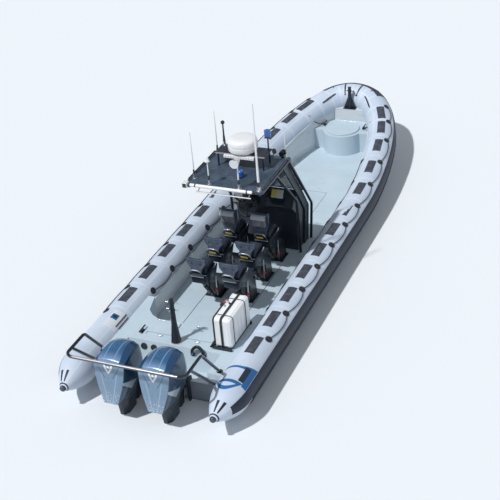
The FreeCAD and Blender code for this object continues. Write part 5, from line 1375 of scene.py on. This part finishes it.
def rear_shield(edges, rise, cuts, groove):
    """A panel on the rear face, with half widths given at heights."""
    low, high = edges[0][0], edges[-1][0]
    panel = bmesh.new()
    bmesh.ops.create_grid(panel, x_segments=cuts, y_segments=cuts, size=1.0)
    for v in panel.verts:
        z = low + (high - low) * (v.co.y + 1) / 2
        (z0, w0), (z1, w1) = next((pair for pair in zip(edges, edges[1:]) if z <= pair[1][0]), edges[-2:])
        y = v.co.x * (w0 + (w1 - w0) * min(1.0, max(0.0, z - z0) / (z1 - z0)))
        v.co = Vector((rear_x(y, z) - rise + groove(y, z), y, z))
    bmesh.ops.recalc_face_normals(panel, faces=panel.faces)
    if panel.faces[0].normal.x > 0:
        bmesh.ops.reverse_faces(panel, faces=panel.faces)
    rim = bmesh.ops.extrude_edge_only(panel, edges=[e for e in panel.edges if e.is_boundary])
    bmesh.ops.translate(panel, verts=vertices(rim), vec=(rise + 0.016, 0, 0))
    return panel


def shield_grooves(y, z):
    side_line = abs(abs(y) - (0.062 + 0.55 * max(0.0, z - 0.80)))
    groove = 0.006 * math.exp(-(side_line / 0.009) ** 2) if z > 0.79 else 0.0
    middle = 0.003 * math.exp(-(abs(y) / 0.010) ** 2) if z < 0.84 else 0.0
    return groove + middle


SHIELD_EDGE = [(0.385, 0.112), (0.50, 0.146), (0.66, 0.196), (0.82, 0.226), (0.94, 0.240), (1.02, 0.243),
               (1.045, 0.232)]
EMBLEM_EDGE = [(0.885, 0.004), (0.91, 0.030), (0.945, 0.052), (0.99, 0.068), (1.035, 0.074)]
for side, sign in SIDES:
    on_motor = {"body": "motor_" + side}
    centre = (0, sign * ENGINE_Y, 0)
    bm = bmesh.new()
    crease_edge = bm.edges.layers.float.new("crease_edge")
    number = bm.verts.layers.int.new("place")
    loops = []
    for section in COWL:
        numbered = list(enumerate(cowl_half(*section)))
        ring = [(i, x, y, z) for i, (x, y, z) in numbered]
        ring += [(i, x, -y, z) for i, (x, y, z) in numbered[-2:0:-1]]
        corners = []
        for i, *spot in ring:
            corners.append(bm.verts.new(spot))
            corners[-1][number] = i
        loops.append([bm.edges.new((a, b)) for a, b in zip(corners, corners[1:] + corners[:1])])
    for a, b in zip(loops, loops[1:]):
        bmesh.ops.bridge_loops(bm, edges=a + b)
    for loop in (loops[0], loops[-1]):
        filled = bmesh.ops.holes_fill(bm, edges=loop, sides=0)["faces"]
        bmesh.ops.inset_region(bm, faces=filled, thickness=0.02, depth=0.004)
    bmesh.ops.recalc_face_normals(bm, faces=bm.faces)
    for face in bm.faces:
        numbers = [v[number] for v in face.verts]
        strip = len(numbers) == 4 and max(numbers) - min(numbers) == 1
        face.material_index = COWL_SKINS.get(max(numbers), FLANK) if strip else FLANK
    for edge in bm.edges:
        if edge.verts[0][number] == edge.verts[1][number]:
            edge[crease_edge] = COWL_CREASES.get(edge.verts[0][number], 0.0)
    cowl = piece("cowl_shell_" + side, moved(bm, centre), (cowl_blue, facet_blue, flank_dark),
                 slot="engine_paint", replaces=["cowl_" + side], smooth=180.0, **on_motor)
    rounding = cowl.modifiers.new("rounding", "SUBSURF")
    rounding.levels = rounding.render_levels = 3
    piece("cowl_shield_" + side, moved(rear_shield(SHIELD_EDGE, 0.006, 72, shield_grooves), centre),
          silver_pale, slot="engine_paint", smooth=50.0, **on_motor)
    piece("cowl_badge_plate_" + side, moved(rear_shield(EMBLEM_EDGE, 0.0085, 24, lambda y, z: 0.0), centre),
          emblem_white, slot="white_plastic", smooth=50.0, **on_motor)

# Legs, gearcases and brackets: cast aluminium, painted dark blue-black, chipped at the edges, and dull where
# salt dries on them. The propellers are polished steel.
leg_black = worn("leg_paint", (30.0, 6.0, 0.7), (0.45, 0.75), (0.012, 0.022, 0.034), (0.035, 0.05, 0.068),
                 0.36, 0.15, (0.0008, 30.0, 6.0, 0.7), coat_weight=0.15)
cast_grey = worn("bracket_paint", (45.0, 6.0, 0.7), (0.4, 0.75), (0.020, 0.030, 0.042), (0.075, 0.09, 0.11),
                 0.42, relief=(0.0012, 45.0, 6.0, 0.7), metallic=0.3)
for side, sign in SIDES:
    dress(leg_black, "midsection_" + side, "gearcase_" + side)
    dress(cast_grey, "clamp_bracket_" + side, "swivel_bracket_" + side)
    dress(bright_steel, "propeller_" + side)
